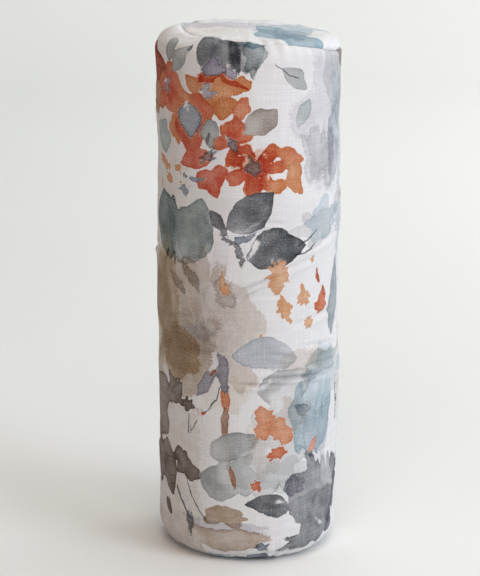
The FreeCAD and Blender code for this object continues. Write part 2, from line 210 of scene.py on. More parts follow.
class Slack:
    """Folds of a cover that is a little too large for its pad, simulated under its own weight."""

    COLUMNS = 132
    STEP = 5.0
    LONGER, WIDER = 1.028, 1.004
    FRAMES = 22
    CAP = (-0.4, 2.6)  # folds are cut off beyond this

    def __init__(self):
        self.ups = np.arange(-BELOW + self.STEP, TOP_CENTRE - self.STEP / 2, self.STEP)
        self.folds = np.zeros((len(self.ups), self.COLUMNS))

    def simulate(self):
        """Drapes the cover on a stiff pad and keeps how far each place ends up off the plain roll."""
        scene = bpy.context.scene
        turn = np.arange(self.COLUMNS) * 2 * math.pi / self.COLUMNS
        theta, up = turn[None] + 0 * self.ups[:, None], self.ups[:, None] + 0 * turn[None]
        start = roll(theta, up, np.full_like(up, 0.4) + 0.25 * swell(theta, up, 8, 60))
        faces = grid_faces(*up.shape, True)
        cover = make_mesh("slack_cover", start, faces)
        pad = make_mesh("slack_pad", roll(theta, up, np.full_like(up, -1.2)), faces)
        pad.modifiers.new("Collision", "COLLISION")
        pad.collision.thickness_outer = 0.001
        pad.collision.cloth_friction = 12
        cover.shape_key_add(name="flat")
        longer = cover.shape_key_add(name="longer")
        stretched = start.copy()
        stretched[..., 2] = (stretched[..., 2] - LENGTH / 2000) * self.LONGER + LENGTH / 2000
        stretched[..., :2] *= self.WIDER
        longer.data.foreach_set("co", stretched.ravel())
        longer.value = 0
        ends = cover.vertex_groups.new(name="ends")
        still = np.flatnonzero((up.ravel() > LENGTH + 8) | (up.ravel() < -8))
        ends.add(still.tolist(), 1.0, "REPLACE")
        cloth = cover.modifiers.new("Cloth", "CLOTH")
        settings = cloth.settings
        settings.quality = 6
        settings.mass = 0.0004
        settings.tension_stiffness = settings.compression_stiffness = 6
        settings.shear_stiffness = 2
        settings.bending_stiffness = 0.004
        settings.tension_damping = settings.compression_damping = settings.shear_damping = 6
        settings.rest_shape_key = longer
        settings.vertex_group_mass = "ends"
        cloth.collision_settings.distance_min = 0.0004
        cloth.collision_settings.use_self_collision = False
        cloth.point_cache.frame_end = self.FRAMES
        for number in range(1, self.FRAMES + 1):
            scene.frame_set(number)
        moved = cover.evaluated_get(bpy.context.evaluated_depsgraph_get()).data
        places = np.empty(start.size, np.float32)
        moved.vertices.foreach_get("co", places)
        places = places.reshape(start.shape).astype(float)
        _, _, out, rise = outline(up)
        normal = np.stack([out * np.sin(theta), -out * np.cos(theta), rise], axis=-1)
        off = ((places - roll(theta, up, 0.0 * up)) * normal).sum(-1) * 1000
        scene.frame_set(1)
        for made in (cover, pad):
            bpy.data.objects.remove(made)
        off = np.clip(off, *self.CAP)
        off = off - off.mean(axis=1, keepdims=True)
        for _ in range(2):  # smoothed twice
            off = (np.roll(off, 1, 1) + 2 * off + np.roll(off, -1, 1)) / 4
            off[1:-1] = (off[:-2] + 2 * off[1:-1] + off[2:]) / 4
        self.folds = off

    def __call__(self, theta, up):
        """The folds' height at any place, between the simulated points."""
        theta, up = np.broadcast_arrays(theta, up)
        column = (theta / (2 * math.pi) * self.COLUMNS) % self.COLUMNS
        row = np.clip((up - self.ups[0]) / self.STEP, 0, len(self.ups) - 1.001)
        c, r = column.astype(int), row.astype(int)
        u, v = column - c, row - r
        u, v = u * u * (3 - 2 * u), v * v * (3 - 2 * v)
        c = c % self.COLUMNS
        after = (c + 1) % self.COLUMNS
        low = self.folds[r, c] * (1 - u) + self.folds[r, after] * u
        high = self.folds[r + 1, c] * (1 - u) + self.folds[r + 1, after] * u
        return low * (1 - v) + high * v


SLACK = Slack()


def relief(theta, up):
    """How far the cover's surface stands off the plain roll."""
    # distances to the nearest end seam and to the middle of the back
    to_seam = np.minimum(np.abs(up - top_seam(theta)), np.abs(up - bottom_seam(theta)))
    to_back = np.abs(GIRTH / 2 - np.abs(RADIUS * theta))
    on_wall = smooth(-40, 30, up) * smooth(-TOP_CENTRE + 40, -LENGTH, -up)
    away_from_zip = smooth(4, 40, to_back)
    # unevenness of the filling, creases, and folds of the loose cover
    total = 0.55 * swell(theta, up, 3, 120) + 0.22 * swell(theta, up, 4, 45)
    total = total + 2.0 * creases(theta, up) + SLACK(theta, up) * (4.4 + 1.8 * np.sin(theta))
    total = total * on_wall * away_from_zip
    # puckers at the end seams, a roll beside each and its own sharp hollow
    fine = 0.55 * waves(theta, 5, 26, 60) * np.exp(-to_seam / 13)
    broad = 0.4 * waves(theta, 6, 12, 30) * np.exp(-to_seam / 30)
    total = total + (fine + broad) * smooth(0, 3, to_seam)
    total = total + 1.1 * np.exp(-(((to_seam - 7) / 6) ** 2)) - 2.4 * np.exp(-to_seam / 1.3)
    # the edges at the zip, pulled unevenly, and the hollow of the seam above and below it
    half = slot_half(up)
    from_edge = np.abs(to_back - half)
    tug = np.sin(up / 2.9 + 2 * np.sin(up / 17)) + np.sin(up / 4.3 + 1)
    total = total + 0.16 * tug * np.exp(-from_edge / 9) * (1 - away_from_zip)
    sewn_shut = 1 - smooth(0.2, 3, half)
    total = total - 1.5 * sewn_shut * np.exp(-from_edge / 1.2)
    return total + TOP_DOME * smooth(LENGTH + 4, TOP_CENTRE, up)


def roll(theta, up, off):
    """Points that stand off the plain roll, in metres."""
    radius, height, out, rise = outline(up)
    radius = np.maximum(radius + off * out, 0)
    height = np.maximum(height + off * rise, 0)
    x = radius * np.sin(theta)
    y = -radius * np.cos(theta)
    height = height - TOP_TILT * x * (height / LENGTH) ** 3
    return np.stack([x, y, height], axis=-1) / 1000


def surface(theta, up, lift=0.0):
    """Points of the finished cover, lift millimetres outside it. It lies flat where it stands."""
    return roll(theta, up, (relief(theta, up) + lift) * smooth(-BOTTOM_FLAT, 6, up))


# ---------------------------------------------------------------- mesh helpers

def attribute(mesh, name, values):
    """Stores one vector per vertex."""
    layer = mesh.attributes.new(name, "FLOAT_VECTOR", "POINT")
    layer.data.foreach_set("vector", np.ascontiguousarray(values, np.float32).ravel())


def grid_faces(rows, columns, closed):
    """Quads between the points of a grid, joined round its last column if closed."""
    row, column = np.meshgrid(np.arange(rows - 1), np.arange(columns - (0 if closed else 1)), indexing="ij")
    after = (column + 1) % columns
    low, high = row * columns, (row + 1) * columns
    return np.stack([c.ravel() for c in (low + column, low + after, high + after, high + column)], axis=1)


def make_mesh(name, points, faces, flip=False):
    """A smooth-shaded mesh object in the scene."""
    mesh = bpy.data.meshes.new(name)
    faces = faces[:, ::-1] if flip else faces
    mesh.from_pydata(points.reshape(-1, 3).tolist(), [], faces.tolist())
    mesh.polygons.foreach_set("use_smooth", np.ones(len(mesh.polygons), bool))
    piece = bpy.data.objects.new(name, mesh)
    bpy.context.scene.collection.objects.link(piece)
    return piece


def tubes(name, paths, radius, sides=6):
    """Round tubes along paths (tubes, points, 3) in metres, each narrower at its ends."""
    paths = np.asarray(paths, float)
    count, steps = paths.shape[:2]
    ahead = np.roll(paths, -1, axis=1) - np.roll(paths, 1, axis=1)
    ahead[:, 0] = paths[:, 1] - paths[:, 0]
    ahead[:, -1] = paths[:, -1] - paths[:, -2]
    ahead /= np.linalg.norm(ahead, axis=2, keepdims=True)
    guide = np.where(np.abs(ahead[..., 2:]) > 0.9, [[[1.0, 0, 0]]], [[[0, 0, 1.0]]])
    side = np.cross(ahead, guide)
    side /= np.linalg.norm(side, axis=2, keepdims=True)
    other = np.cross(ahead, side)
    reach = np.full(steps, radius)
    reach[[0, -1]] = radius * 0.25
    turn = np.arange(sides) * 2 * math.pi / sides
    ring = side[:, :, None] * np.cos(turn)[:, None] + other[:, :, None] * np.sin(turn)[:, None]
    points = paths[:, :, None] + ring * reach[:, None, None]
    one = grid_faces(steps, sides, True)
    faces = np.concatenate([one + k * steps * sides for k in range(count)])
    return make_mesh(name, points, faces)


# ---------------------------------------------------------------- the print

INK_GROUPS = [
    ("coral", "rust", "orange"),
    ("charcoal", "slate", "grey"),
    ("sage", "sky", "lilac"),
    ("beige", "olive", "umber"),
]
INKS = {  # colour of one full coat on white, as sRGB
    "coral": (0.85, 0.46, 0.37),
    "rust": (0.72, 0.38, 0.24),
    "orange": (0.90, 0.68, 0.51),
    "charcoal": (0.40, 0.41, 0.425),
    "slate": (0.63, 0.66, 0.70),
    "grey": (0.72, 0.73, 0.73),
    "sage": (0.55, 0.60, 0.60),
    "sky": (0.70, 0.79, 0.83),
    "lilac": (0.74, 0.72, 0.77),
    "beige": (0.80, 0.74, 0.68),
    "olive": (0.72, 0.62, 0.47),
    "umber": (0.44, 0.39, 0.35),
}
RIMS = {"charcoal": 0.55, "umber": 0.8, "grey": 1.0, "sage": 0.7, "slate": 0.7, "lilac": 0.6}
PLAIN_RIM = 0.45
FAR = 40.0  # distances to a motif are kept up to this


class Cloth:
    """Printed cloth: for each ink, how far each point is from the ink's edge, and how strong the ink is.

    Its shapes are distances: below 0 inside, and above 0 outside.
    """

    def __init__(self, across, up, around=None):
        self.place = (across.ravel(), up.ravel())
        self.around = around  # girth of cloth that closes on itself
        self.shift = (0.0, 0.0)
        self.repeat = None  # height after which the print comes again
        self.mirror = None  # motifs are turned round about this distance across
        turn = self.place[0] / RADIUS
        self.across, self.up = self.place
        for seed, length, reach in ((71, 60, 1.2), (73, 20, 0.5), (75, 8, 0.28)):  # the hand's wobble
            self.across = self.across + reach * swell(turn, self.place[1], seed, length)
            self.up = self.up + reach * swell(turn, self.place[1], seed + 1, length)
        size = self.across.size
        self.edge = {ink: np.full(size, FAR) for ink in INKS}
        self.tone = {ink: np.ones(size) for ink in INKS}
        self.stem_side = np.full(size, FAR)
        self.stem_reach = np.full(size, FAR)
        self.stem_width = np.full(size, 0.5)

    def local(self, at, heading):
        """Distances from a place on the cloth, along a heading in degrees and across it."""
        middle = at[0] if self.mirror is None else 2 * self.mirror - at[0]
        x = self.across - middle - self.shift[0]
        y = self.up - at[1] - self.shift[1]
        if self.around:
            x = (x + self.around / 2) % self.around - self.around / 2
        if self.mirror is not None:
            x = -x
        if self.repeat:
            y = (y + self.repeat / 2) % self.repeat - self.repeat / 2
        turn = math.radians(heading)
        return x * math.cos(turn) + y * math.sin(turn), y * math.cos(turn) - x * math.sin(turn)

    def paint(self, shape, soft, over=False, **inks):
        """Prints a mix of inks in a shape. Other inks give way to it, unless it is a wash laid over them."""
        inside = smooth(soft, -soft, shape)
        for ink in INKS:
            if ink in inks:
                edge, old = self.edge[ink], self.tone[ink]
                tone = inks[ink] * (1 + 0.18 * np.exp(-(((shape + 1.5) / 2.2) ** 2)))
                if soft > 2.5:
                    tone = tone * (1 - 0.4 * np.exp(-(((shape / soft + 0.6) / 0.5) ** 2)))
                self.tone[ink] = old + (tone - old) * np.where(edge < 0, inside, shape < edge)
                self.edge[ink] = np.minimum(edge, shape / soft)
            elif not over:
                self.tone[ink] = self.tone[ink] * (1 - inside)

    def lift(self, shape, left, soft, only=None):
        """Wipes ink off inside a shape, down to a fraction of its strength."""
        inside = smooth(soft, -soft, shape)
        for ink in only or INKS:
            self.tone[ink] = self.tone[ink] * (1 - (1 - left) * inside)

    def blot(self, at, size, lean, lobes, rough, seed=0):
        """A rounded brush mark size = (length, width), with a wavy edge."""
        x, y = self.local(at, lean)
        draw = np.random.default_rng(seed + int(abs(at[0]) * 7 + abs(at[1])))
        reach = np.hypot(x / (size[0] / 2), y / (size[1] / 2))
        angle = np.arctan2(y / size[1], x / size[0])
        rim = 1.0
        for k in range(2, 3 + lobes):
            rim = rim + rough * draw.uniform(0.4, 1.2) * np.cos(k * angle + draw.uniform(0, 6.3))
        return (reach - rim) * min(size) / 2

    def leaf(self, at, length, width, heading, bend=0.0, belly=0.45):
        """A pointed leaf from its stalk at one place, along a heading."""
        x, y = self.local(at, heading)
        t = x / length
        inside = np.clip(t, 0.001, 0.999)
        power = math.log(0.5) / math.log(belly)
        half = width / 2 * np.sin(math.pi * inside**power) ** 0.8
        y = y - bend * 4 * inside * (1 - inside)
        past = np.maximum(np.maximum(-t, t - 1), 0) * length
        return np.hypot(np.maximum(np.abs(y) - half, 0), past) + np.minimum(np.abs(y) - half, 0)

    def petal(self, at, length, width, heading, notch):
        """A petal that is narrow at the flower's middle and broad and notched at its end."""
        x, y = self.local(at, heading)
        full = length * (1 - notch * np.exp(-((y / (0.16 * width)) ** 2)))
        t = np.clip(x / full, 0.0, 1.0)
        half = width / 2 * 1.25 * t**0.6 * np.sqrt(np.maximum(1 - t**5, 0))
        past = np.maximum(np.maximum(-x, x - full), 0)
        return np.hypot(np.maximum(np.abs(y) - half, 0), past) + np.minimum(np.abs(y) - half, 0) * 0.9

    def stem(self, points, width):
        """A thin brushed line through a few places, as a smooth curve."""
        knots = np.asarray(points, float)
        if len(knots) == 3:
            t = np.linspace(0, 1, 9)[:, None]
            knots = (1 - t) ** 2 * knots[0] + 2 * t * (1 - t) * knots[1] + t * t * knots[2]
        for start, end in zip(knots[:-1], knots[1:]):
            length = math.dist(start, end)
            heading = math.degrees(math.atan2(end[1] - start[1], end[0] - start[0]))
            x, y = self.local(start, heading)
            past = np.maximum(np.maximum(-x, x - length), 0)
            reach = np.hypot(y, past)
            nearer = reach < self.stem_reach
            self.stem_side = np.where(nearer, np.copysign(reach, y), self.stem_side)
            self.stem_reach = np.where(nearer, reach, self.stem_reach)
            self.stem_width = np.where(nearer, width, self.stem_width)

    def store(self, mesh):
        """Writes the print to the mesh, three inks to an attribute."""
        for number, inks in enumerate(INK_GROUPS):
            attribute(mesh, f"edge_{number}", np.stack([np.clip(self.edge[i], -FAR, FAR) for i in inks], 1))
            attribute(mesh, f"tone_{number}", np.stack([self.tone[i] for i in inks], 1))
        attribute(mesh, "stems", np.stack([self.stem_side, self.stem_reach, self.stem_width], 1))
        attribute(mesh, "cloth", np.stack([*self.place, np.zeros_like(self.up)], 1))


def flower(cloth, at, size, inner, outer, petals, turn, eye, seed, wide=0.95, strength=1.0):
    """An open flower: petals run from one ink at the middle to another at the tips, round a blurred eye."""
    draw = np.random.default_rng(seed)
    for k in range(petals):
        heading = turn + 360 / petals * k + draw.uniform(-10, 10)
        length = size * draw.uniform(0.86, 1.14)
        width = size * wide * draw.uniform(0.85, 1.1)
        shape = cloth.petal(at, length, width, heading, draw.uniform(0.02, 0.14))
        x, _ = cloth.local(at, heading)
        out = smooth(0.1, 0.95, x / length) * draw.uniform(0.6, 1.1)
        tone = strength * draw.uniform(0.85, 1.15)
        cloth.paint(shape, 0.8, **{outer: tone * out, inner: tone * (1.05 - 0.8 * out)})
    at = (at[0] + draw.uniform(-2, 2), at[1] + draw.uniform(-2, 2))
    shape = cloth.blot(at, (size * 0.62, size * 0.44), turn, 4, 0.14, seed)
    cloth.lift(shape, 0.15, 2.2)
    cloth.paint(shape, 2.2, True, **{eye: 0.9})
    place = (at[0] + size * 0.2, at[1] + size * 0.16)
    wipe(cloth, place, (size * 0.24, size * 0.13), turn + 40, 5, 0.2, seed, 0.0, 0.8)


def leaf(cloth, ink, at, length, width, heading, tone, bend=0, belly=0.45, soft=0.9, vein=0, over=False):
    """A leaf, paler towards its stalk, with an optional darker mid-vein."""
    shape = cloth.leaf(at, length, width, heading, bend, belly)
    x, y = cloth.local(at, heading)
    t = np.clip(x / length, 0, 1)
    line = y - bend * 4 * t * (1 - t)
    tone = tone * (1 - 0.35 * smooth(0.6, 0.0, t) + vein * np.exp(-((line / 2.2) ** 2)))
    cloth.paint(shape, soft, over, **{ink: tone})


def blade(cloth, at, length, width, heading, bend=0, belly=0.45, soft=0.8, over=False, **inks):
    """A leaf shape of one strength, also for slim strokes."""
    cloth.paint(cloth.leaf(at, length, width, heading, bend, belly), soft, over, **inks)


def wash(cloth, ink, at, size, lean, tone, soft, rough, seed):
    """A broad pale wash with soft, uneven edges."""
    cloth.paint(cloth.blot(at, size, lean, 5, rough, seed), soft, True, **{ink: tone})


def streaks(cloth, ink, at, size, count, tone, heading, seed, soft=1.6, spread=26):
    """Brush strokes side by side that fan out a little: a big loosely painted bloom."""
    draw = np.random.default_rng(seed)
    for k in range(count):
        part = (k + 0.5) / count - 0.5
        place = (at[0] + part * size[0], at[1] + draw.uniform(-0.06, 0.06) * size[1])
        stroke = (size[1] * draw.uniform(0.85, 1.1), size[0] / count * draw.uniform(1.1, 1.7))
        shape = cloth.blot(place, stroke, heading - part * spread, 3, 0.07, seed + k)
        cloth.paint(shape, soft, True, **{ink: tone * draw.uniform(0.6, 1.25)})


def dabs(cloth, places, rough, lobes, soft, **inks):
    """Small jagged touches of the brush: across, up, length, width, lean."""
    for number, (x, y, length, width, lean) in enumerate(places):
        cloth.paint(cloth.blot((x, y), (length, width), lean, lobes, rough, number), soft, **inks)


def mark(cloth, at, size, lean=0, rough=0.08, lobes=4, soft=0.9, **inks):
    """One brush mark that covers what is under it."""
    cloth.paint(cloth.blot(at, size, lean, lobes, rough), soft, False, **inks)


def glaze(cloth, at, size, lean=0, rough=0.1, lobes=4, soft=1.0, **inks):
    """One brush mark that lets what is under it show through."""
    cloth.paint(cloth.blot(at, size, lean, lobes, rough), soft, True, **inks)


def wipe(cloth, at, size, lean, lobes, rough, seed, left, soft, only=None):
    """Ink lifted off in a brush mark's shape, down to a fraction of its strength."""
    cloth.lift(cloth.blot(at, size, lean, lobes, rough, seed), left, soft, only)


def pale_right(cloth):
    """The washes and pale leaves at the upper right, and a broad wash of painted warm shade down the left."""
    # A broad, very soft beige wash down the left side: painted warm shade on the side away from the light.
    wash(cloth, "beige", (-128, 470), (110, 290), 0, 0.26, 14, 0.05, 1)
    wash(cloth, "lilac", (104, 530), (74, 170), 0, 0.24, 9, 0.12, 1)
    streaks(cloth, "lilac", (106, 486), (64, 84), 5, 0.34, 90, 3, 5)
    streaks(cloth, "grey", (124, 560), (44, 110), 3, 0.5, 90, 4, 4)
    streaks(cloth, "sky", (136, 520), (40, 90), 3, 0.4, 90, 5, 4)
    streaks(cloth, "grey", (98, 470), (62, 60), 5, 0.36, 90, 6, 3)
    glaze(cloth, (112, 476), (60, 10), 90, soft=3, slate=0.4)
    leaf(cloth, "grey", (36, 572), 40, 18, -34, 0.7, 3, 0.5)
    leaf(cloth, "sage", (60, 508), 34, 17, 66, 0.4, 0, 0.45)
    cloth.stem([(30, 576), (42, 566), (58, 562)], 0.5)


def dark_bloom(cloth):
    """A dark bloom just under the top edge."""
    streaks(cloth, "charcoal", (-56, 594), (74, 54), 6, 0.62, 90, 12, 1.5)
    leaf(cloth, "charcoal", (-66, 566), 50, 13, 78, 1.5, 0, 0.5, 2.0, 0, True)
    leaf(cloth, "charcoal", (-34, 570), 44, 12, 98, 1.0, 0, 0.5, 3.0, 0, True)
    wipe(cloth, (-86, 596), (24, 46), 0, 3, 0.1, 2, 0.5, 5, ["charcoal"])
    glaze(cloth, (-84, 592), (26, 44), 10, soft=2, sage=0.45)
    glaze(cloth, (-82, 604), (34, 12), soft=2, sky=0.8)
    cloth.lift(cloth.leaf((-55, 566), 16, 3.5, 80), 0, 0.8)
    cloth.lift(cloth.leaf((-62, 566), 8, 3, 100), 0, 0.8)


def left_marks(cloth):
    """Two strong marks at the left silhouette."""
    mark(cloth, (-138, 560), (44, 50), 80, soft=1.2, rust=1.0, coral=0.25)
    mark(cloth, (-134, 530), (34, 44), 100, soft=1.2, orange=1.0, umber=0.2)


def flower_cluster(cloth):
    """Coral and orange flowers with their buds and leaves."""
    mark(cloth, (-60, 553), (29, 20), 160, 0.07, orange=1.1, rust=0.1)
    mark(cloth, (-9, 551), (29, 19), 52, 0.06, 3, orange=1.0, rust=0.12)
    mark(cloth, (-34, 549), (38, 34), 20, 0.07, orange=1.05, rust=0.08)
    mark(cloth, (-44, 529), (27, 27), 0, 0.05, 3, orange=1.15, rust=0.14)
    mark(cloth, (-64, 527), (18, 25), 20, 0.07, orange=0.6, coral=0.45)
    glaze(cloth, (-52, 559), (34, 10), 30, 0.12, 5, 1.6, coral=0.7)
    glaze(cloth, (-28, 562), (34, 12), -14, 0.12, 5, 1.6, coral=0.8)
    mark(cloth, (-32, 571), (26, 20), soft=1.4, lilac=1.2, charcoal=0.12)
    mark(cloth, (-53, 567), (15, 10), 40, soft=1.4, lilac=1.0)
    mark(cloth, (-25, 544), (18, 15), 10, 0.14, 6, 1, lilac=1.1)
    wipe(cloth, (-19, 541), (9, 5), 60, 6, 0.2, 13, 0, 0.7)

    mark(cloth, (-8, 518), (46, 50), 60, 0.06, coral=0.72, orange=0.42)
    mark(cloth, (8, 527), (34, 30), 40, 0.06, 4, 1.2, coral=0.3, orange=0.85)
    mark(cloth, (17, 498), (30, 19), 78, soft=1, orange=1.1, coral=0.12)
    blade(cloth, (-2, 520), 44, 40, -94, 0, 0.35, 0.9, coral=1.0, rust=0.1)
    mark(cloth, (24, 530), (44, 28), 30, 0.07, 4, 1.4, coral=0.55, orange=0.5)
    flower(cloth, (34, 543), 28, "coral", "orange", 5, 92, "lilac", 23, 0.86, 1.0)
    cloth.lift(cloth.leaf((0, 530), 38, 31, -96, 0, 0.36), 0.0, 2.4)
    blade(cloth, (0, 530), 38, 31, -96, 0, 0.36, 2.4, over=True, slate=0.85)
    wipe(cloth, (3, 528), (11, 6), 60, 6, 0.22, 14, 0, 0.7)

    mark(cloth, (-60, 506), (22, 22), 40, 0.1, 4, 1, coral=0.6, rust=0.4)
    flower(cloth, (-57, 490), 27, "coral", "orange", 5, 64, "slate", 26, 0.62, 1.1)
    flower(cloth, (-78, 464), 33, "coral", "orange", 7, 75, "slate", 25, 0.5, 1.15)
    glaze(cloth, (-74, 470), (40, 34), 30, 0.1, 5, 7, rust=0.22)
    mark(cloth, (-118, 474), (30, 24), 50, orange=0.8, coral=0.3)
    mark(cloth, (-126, 452), (40, 22), 80, orange=1.0, rust=0.1)
    mark(cloth, (-104, 444), (24, 20), 40, orange=1.0, coral=0.2)
    blade(cloth, (-78, 454), 32, 20, -88, 0, 0.4, 0.9, coral=0.9, rust=0.25)
    dabs(cloth, [(-90, 478, 8, 3, 60), (-70, 477, 6, 2.4, 20), (-92, 456, 6, 3, 100)],
         0.15, 6, 0.8, slate=0.0)

    leaf(cloth, "coral", (-33, 478), 46, 25, -20, 1.0, 3, 0.42)
    glaze(cloth, (-26, 475), (20, 12), -20, 0.14, 6, 2, slate=0.8)
    wipe(cloth, (-24, 474), (14, 8), -30, 5, 0.16, 15, 0.3, 2.0, ["coral"])
    mark(cloth, (-38, 452), (22, 27), 20, 0.05, 3, coral=0.95, rust=0.05)
    mark(cloth, (-22, 448), (24, 24), 0, 0.05, 3, coral=0.95)
    blade(cloth, (-30, 450), 22, 22, -108, 0, 0.35, 0.9, coral=1.0)

    leaf(cloth, "grey", (-3, 592), 44, 21, -46, 0.95, 2, 0.55)
    leaf(cloth, "grey", (31, 604), 34, 19, -84, 1.15, 0, 0.4)
    glaze(cloth, (-1, 590), (8, 4), -60, slate=0.8)
    leaf(cloth, "umber", (-70, 502), 44, 28, 140, 0.42, 0, 0.5)
    mark(cloth, (-29, 503), (28, 23), 70, grey=1.0)
    glaze(cloth, (-27, 497), (16, 4), 100, 0.15, 5, 1.4, charcoal=0.4)
    mark(cloth, (43, 489), (36, 30), 60, 0.06, 3, sage=0.36, grey=0.2)
    cloth.stem([(46, 562), (56, 578), (78, 578)], 0.5)
    cloth.stem([(46, 558), (56, 564), (68, 562)], 0.5)


def flecks(cloth):
    """Small touches beside the flowers."""
    dabs(cloth, [(13, 483, 9, 5, -40), (28, 469, 8, 3, -60), (33, 447, 17, 7, 5)], 0.15, 6, 0.8, slate=0.9)
    dabs(cloth, [(47, 451, 8, 5, 20), (50, 434, 13, 9, 50), (40, 512, 8, 5, 90)], 0.2, 6, 0.8, slate=0.8)
    dabs(cloth, [(57, 456, 10, 7, 70), (54, 441, 6, 2.5, 60), (73, 456, 10, 6, 90)],
         0.14, 7, 0.8, orange=1.1)
    dabs(cloth, [(80, 456, 12, 6, 70), (72, 443, 12, 9, 30), (90, 462, 20, 9, 35)],
         0.16, 7, 0.8, orange=1.1)
    blade(cloth, (93, 452), 44, 2.4, -88, 0, 0.5, orange=0.7)
    blade(cloth, (118, 424), 22, 3.0, -84, 0, 0.5, orange=0.8)


def sage_pair(cloth):
    """Two broad sage leaves."""
    leaf(cloth, "sage", (-106, 350), 80, 60, 98, 1.15, 0, 0.5, 1.2)
    leaf(cloth, "sage", (-88, 350), 84, 54, 64, 0.8, -5, 0.45, 1.2)
    glaze(cloth, (-68, 386), (62, 48), 74, 0.06, 4, 1.2, sage=0.8)
    wipe(cloth, (-70, 362), (26, 34), 30, 3, 0.1, 21, 0.7, 8)
    blade(cloth, (-100, 352), 76, 8, 88, soft=4, over=True, sage=1.6)


def dark_leaves(cloth):
    """A pair of dark leaves on one stalk."""
    leaf(cloth, "charcoal", (58, 398), 66, 40, 142, 0.85, 4, 0.42, 0.9, 0.12)
    leaf(cloth, "charcoal", (36, 364), 68, 46, 172, 1.05, -4, 0.42, 0.9, 0.06)
    wipe(cloth, (46, 392), (44, 8), -20, 6, 0.14, 22, 0.45, 3)
    glaze(cloth, (44, 384), (28, 10), -16, 0.13, 7, 1.2, slate=0.9)
    cloth.lift(cloth.leaf((26, 382), 24, 7, -68, 0, 0.3), 0, 0.8)
    leaf(cloth, "charcoal", (57, 388), 36, 14, 48, 0.85, 0, 0.6)
    dabs(cloth, [(47, 372, 18, 9, 60), (42, 358, 10, 5, 70), (60, 384, 8, 5, 30)],
         0.22, 8, 0.9, charcoal=0.6)
    dabs(cloth, [(66, 391, 7, 3, 80), (78, 400, 6, 3, 40)], 0.22, 8, 0.9, charcoal=0.5)
    cloth.stem([(-48, 388), (-34, 378), (-18, 372)], 0.7)
    cloth.stem([(-50, 374), (-34, 364), (-16, 362)], 0.9)


def blue_edge(cloth):
    """Pale washes at the right of the dark leaves."""
    wash(cloth, "sky", (98, 398), (56, 42), 0, 0.35, 2, 0.12, 31)
    wash(cloth, "grey", (88, 392), (60, 40), 0, 0.25, 3, 0.12, 32)
    wash(cloth, "slate", (136, 398), (24, 90), 0, 0.3, 6, 0.12, 33)


def beige_bloom(cloth):
    """A huge loosely painted bloom."""
    wash(cloth, "beige", (-96, 276), (120, 160), 0, 1.0, 3.5, 0.1, 41)
    wash(cloth, "olive", (-124, 300), (60, 150), 0, 0.4, 9.0, 0.1, 46)
    wash(cloth, "lilac", (-40, 300), (60, 130), 0, 0.12, 6.0, 0.12, 40)
    streaks(cloth, "beige", (-64, 316), (80, 90), 5, 0.7, 104, 42, 3.5)
    wash(cloth, "beige", (-14, 288), (50, 104), 6, 0.42, 3.0, 0.12, 43)
    wash(cloth, "beige", (-12, 240), (44, 60), 20, 0.45, 4.0, 0.12, 44)
    wash(cloth, "olive", (-92, 244), (72, 60), 16, 0.55, 3.0, 0.1, 45)
    wash(cloth, "umber", (-80, 262), (90, 60), 30, 0.1, 10.0, 0.1, 48)
    wash(cloth, "olive", (-24, 206), (60, 40), 10, 0.1, 5.0, 0.14, 39)
    leaf(cloth, "umber", (-56, 316), 46, 13, 124, 0.36, 0, 0.5, 3.0, 0, True)
    leaf(cloth, "umber", (-104, 338), 38, 12, -44, 0.3, 0, 0.5, 3.0, 0, True)
    leaf(cloth, "olive", (-96, 316), 60, 14, 100, 0.4, 0, 0.5, 3.0, 0, True)
    wash(cloth, "umber", (-26, 322), (22, 34), 0, 0.2, 5.0, 0.12, 47)
    wash(cloth, "slate", (-58, 274), (34, 14), 0, 0.3, 7.0, 0.1, 48)
    blade(cloth, (-98, 364), 18, 4, -74, soft=1.2, over=True, umber=0.5)
    blade(cloth, (-110, 366), 20, 5, -110, soft=1.2, over=True, umber=0.5)


def orange_touches(cloth):
    """Orange and coral touches."""
    dabs(cloth, [(91, 341, 32, 24, 90), (58, 313, 18, 19, 30), (60, 325, 16, 6, 70)],
         0.07, 13, 0.8, orange=0.72, coral=0.04)
    dabs(cloth, [(84, 304, 28, 15, 62), (74, 288, 9, 4, 60), (50, 281, 14, 9, -60)],
         0.11, 9, 0.8, orange=0.8)
    dabs(cloth, [(108, 268, 16, 4, 82), (44, 355, 8, 3.5, 110), (150, 330, 22, 12, 80)],
         0.14, 7, 0.8, orange=0.8)
    mark(cloth, (30, 302), (27, 16), 106, 0.09, 5, 0.8, orange=0.4, coral=0.6)
    mark(cloth, (35, 297), (16, 12), 30, soft=0.8, orange=0.7, coral=0.5)
    blade(cloth, (25, 310), 15, 6, 84, rust=0.7)
    blade(cloth, (32, 326), 20, 5.5, 80, 0, 0.4, rust=0.5, coral=0.3)


def pale_leaves(cloth):
    """Two pale leaves and a bud."""
    leaf(cloth, "slate", (8, 246), 80, 40, 2, 0.5, 4, 0.5)
    leaf(cloth, "grey", (-8, 222), 66, 50, -14, 0.66, -4, 0.5)
    wash(cloth, "beige", (10, 244), (40, 20), 0, 0.35, 5, 0.1, 50)
    wipe(cloth, (42, 230), (18, 4), -20, 5, 0.2, 51, 0.1, 1.0)
    wipe(cloth, (48, 214), (18, 4), -42, 5, 0.2, 52, 0.1, 1.0)
    leaf(cloth, "slate", (-10, 178), 24, 14, 26, 0.62)


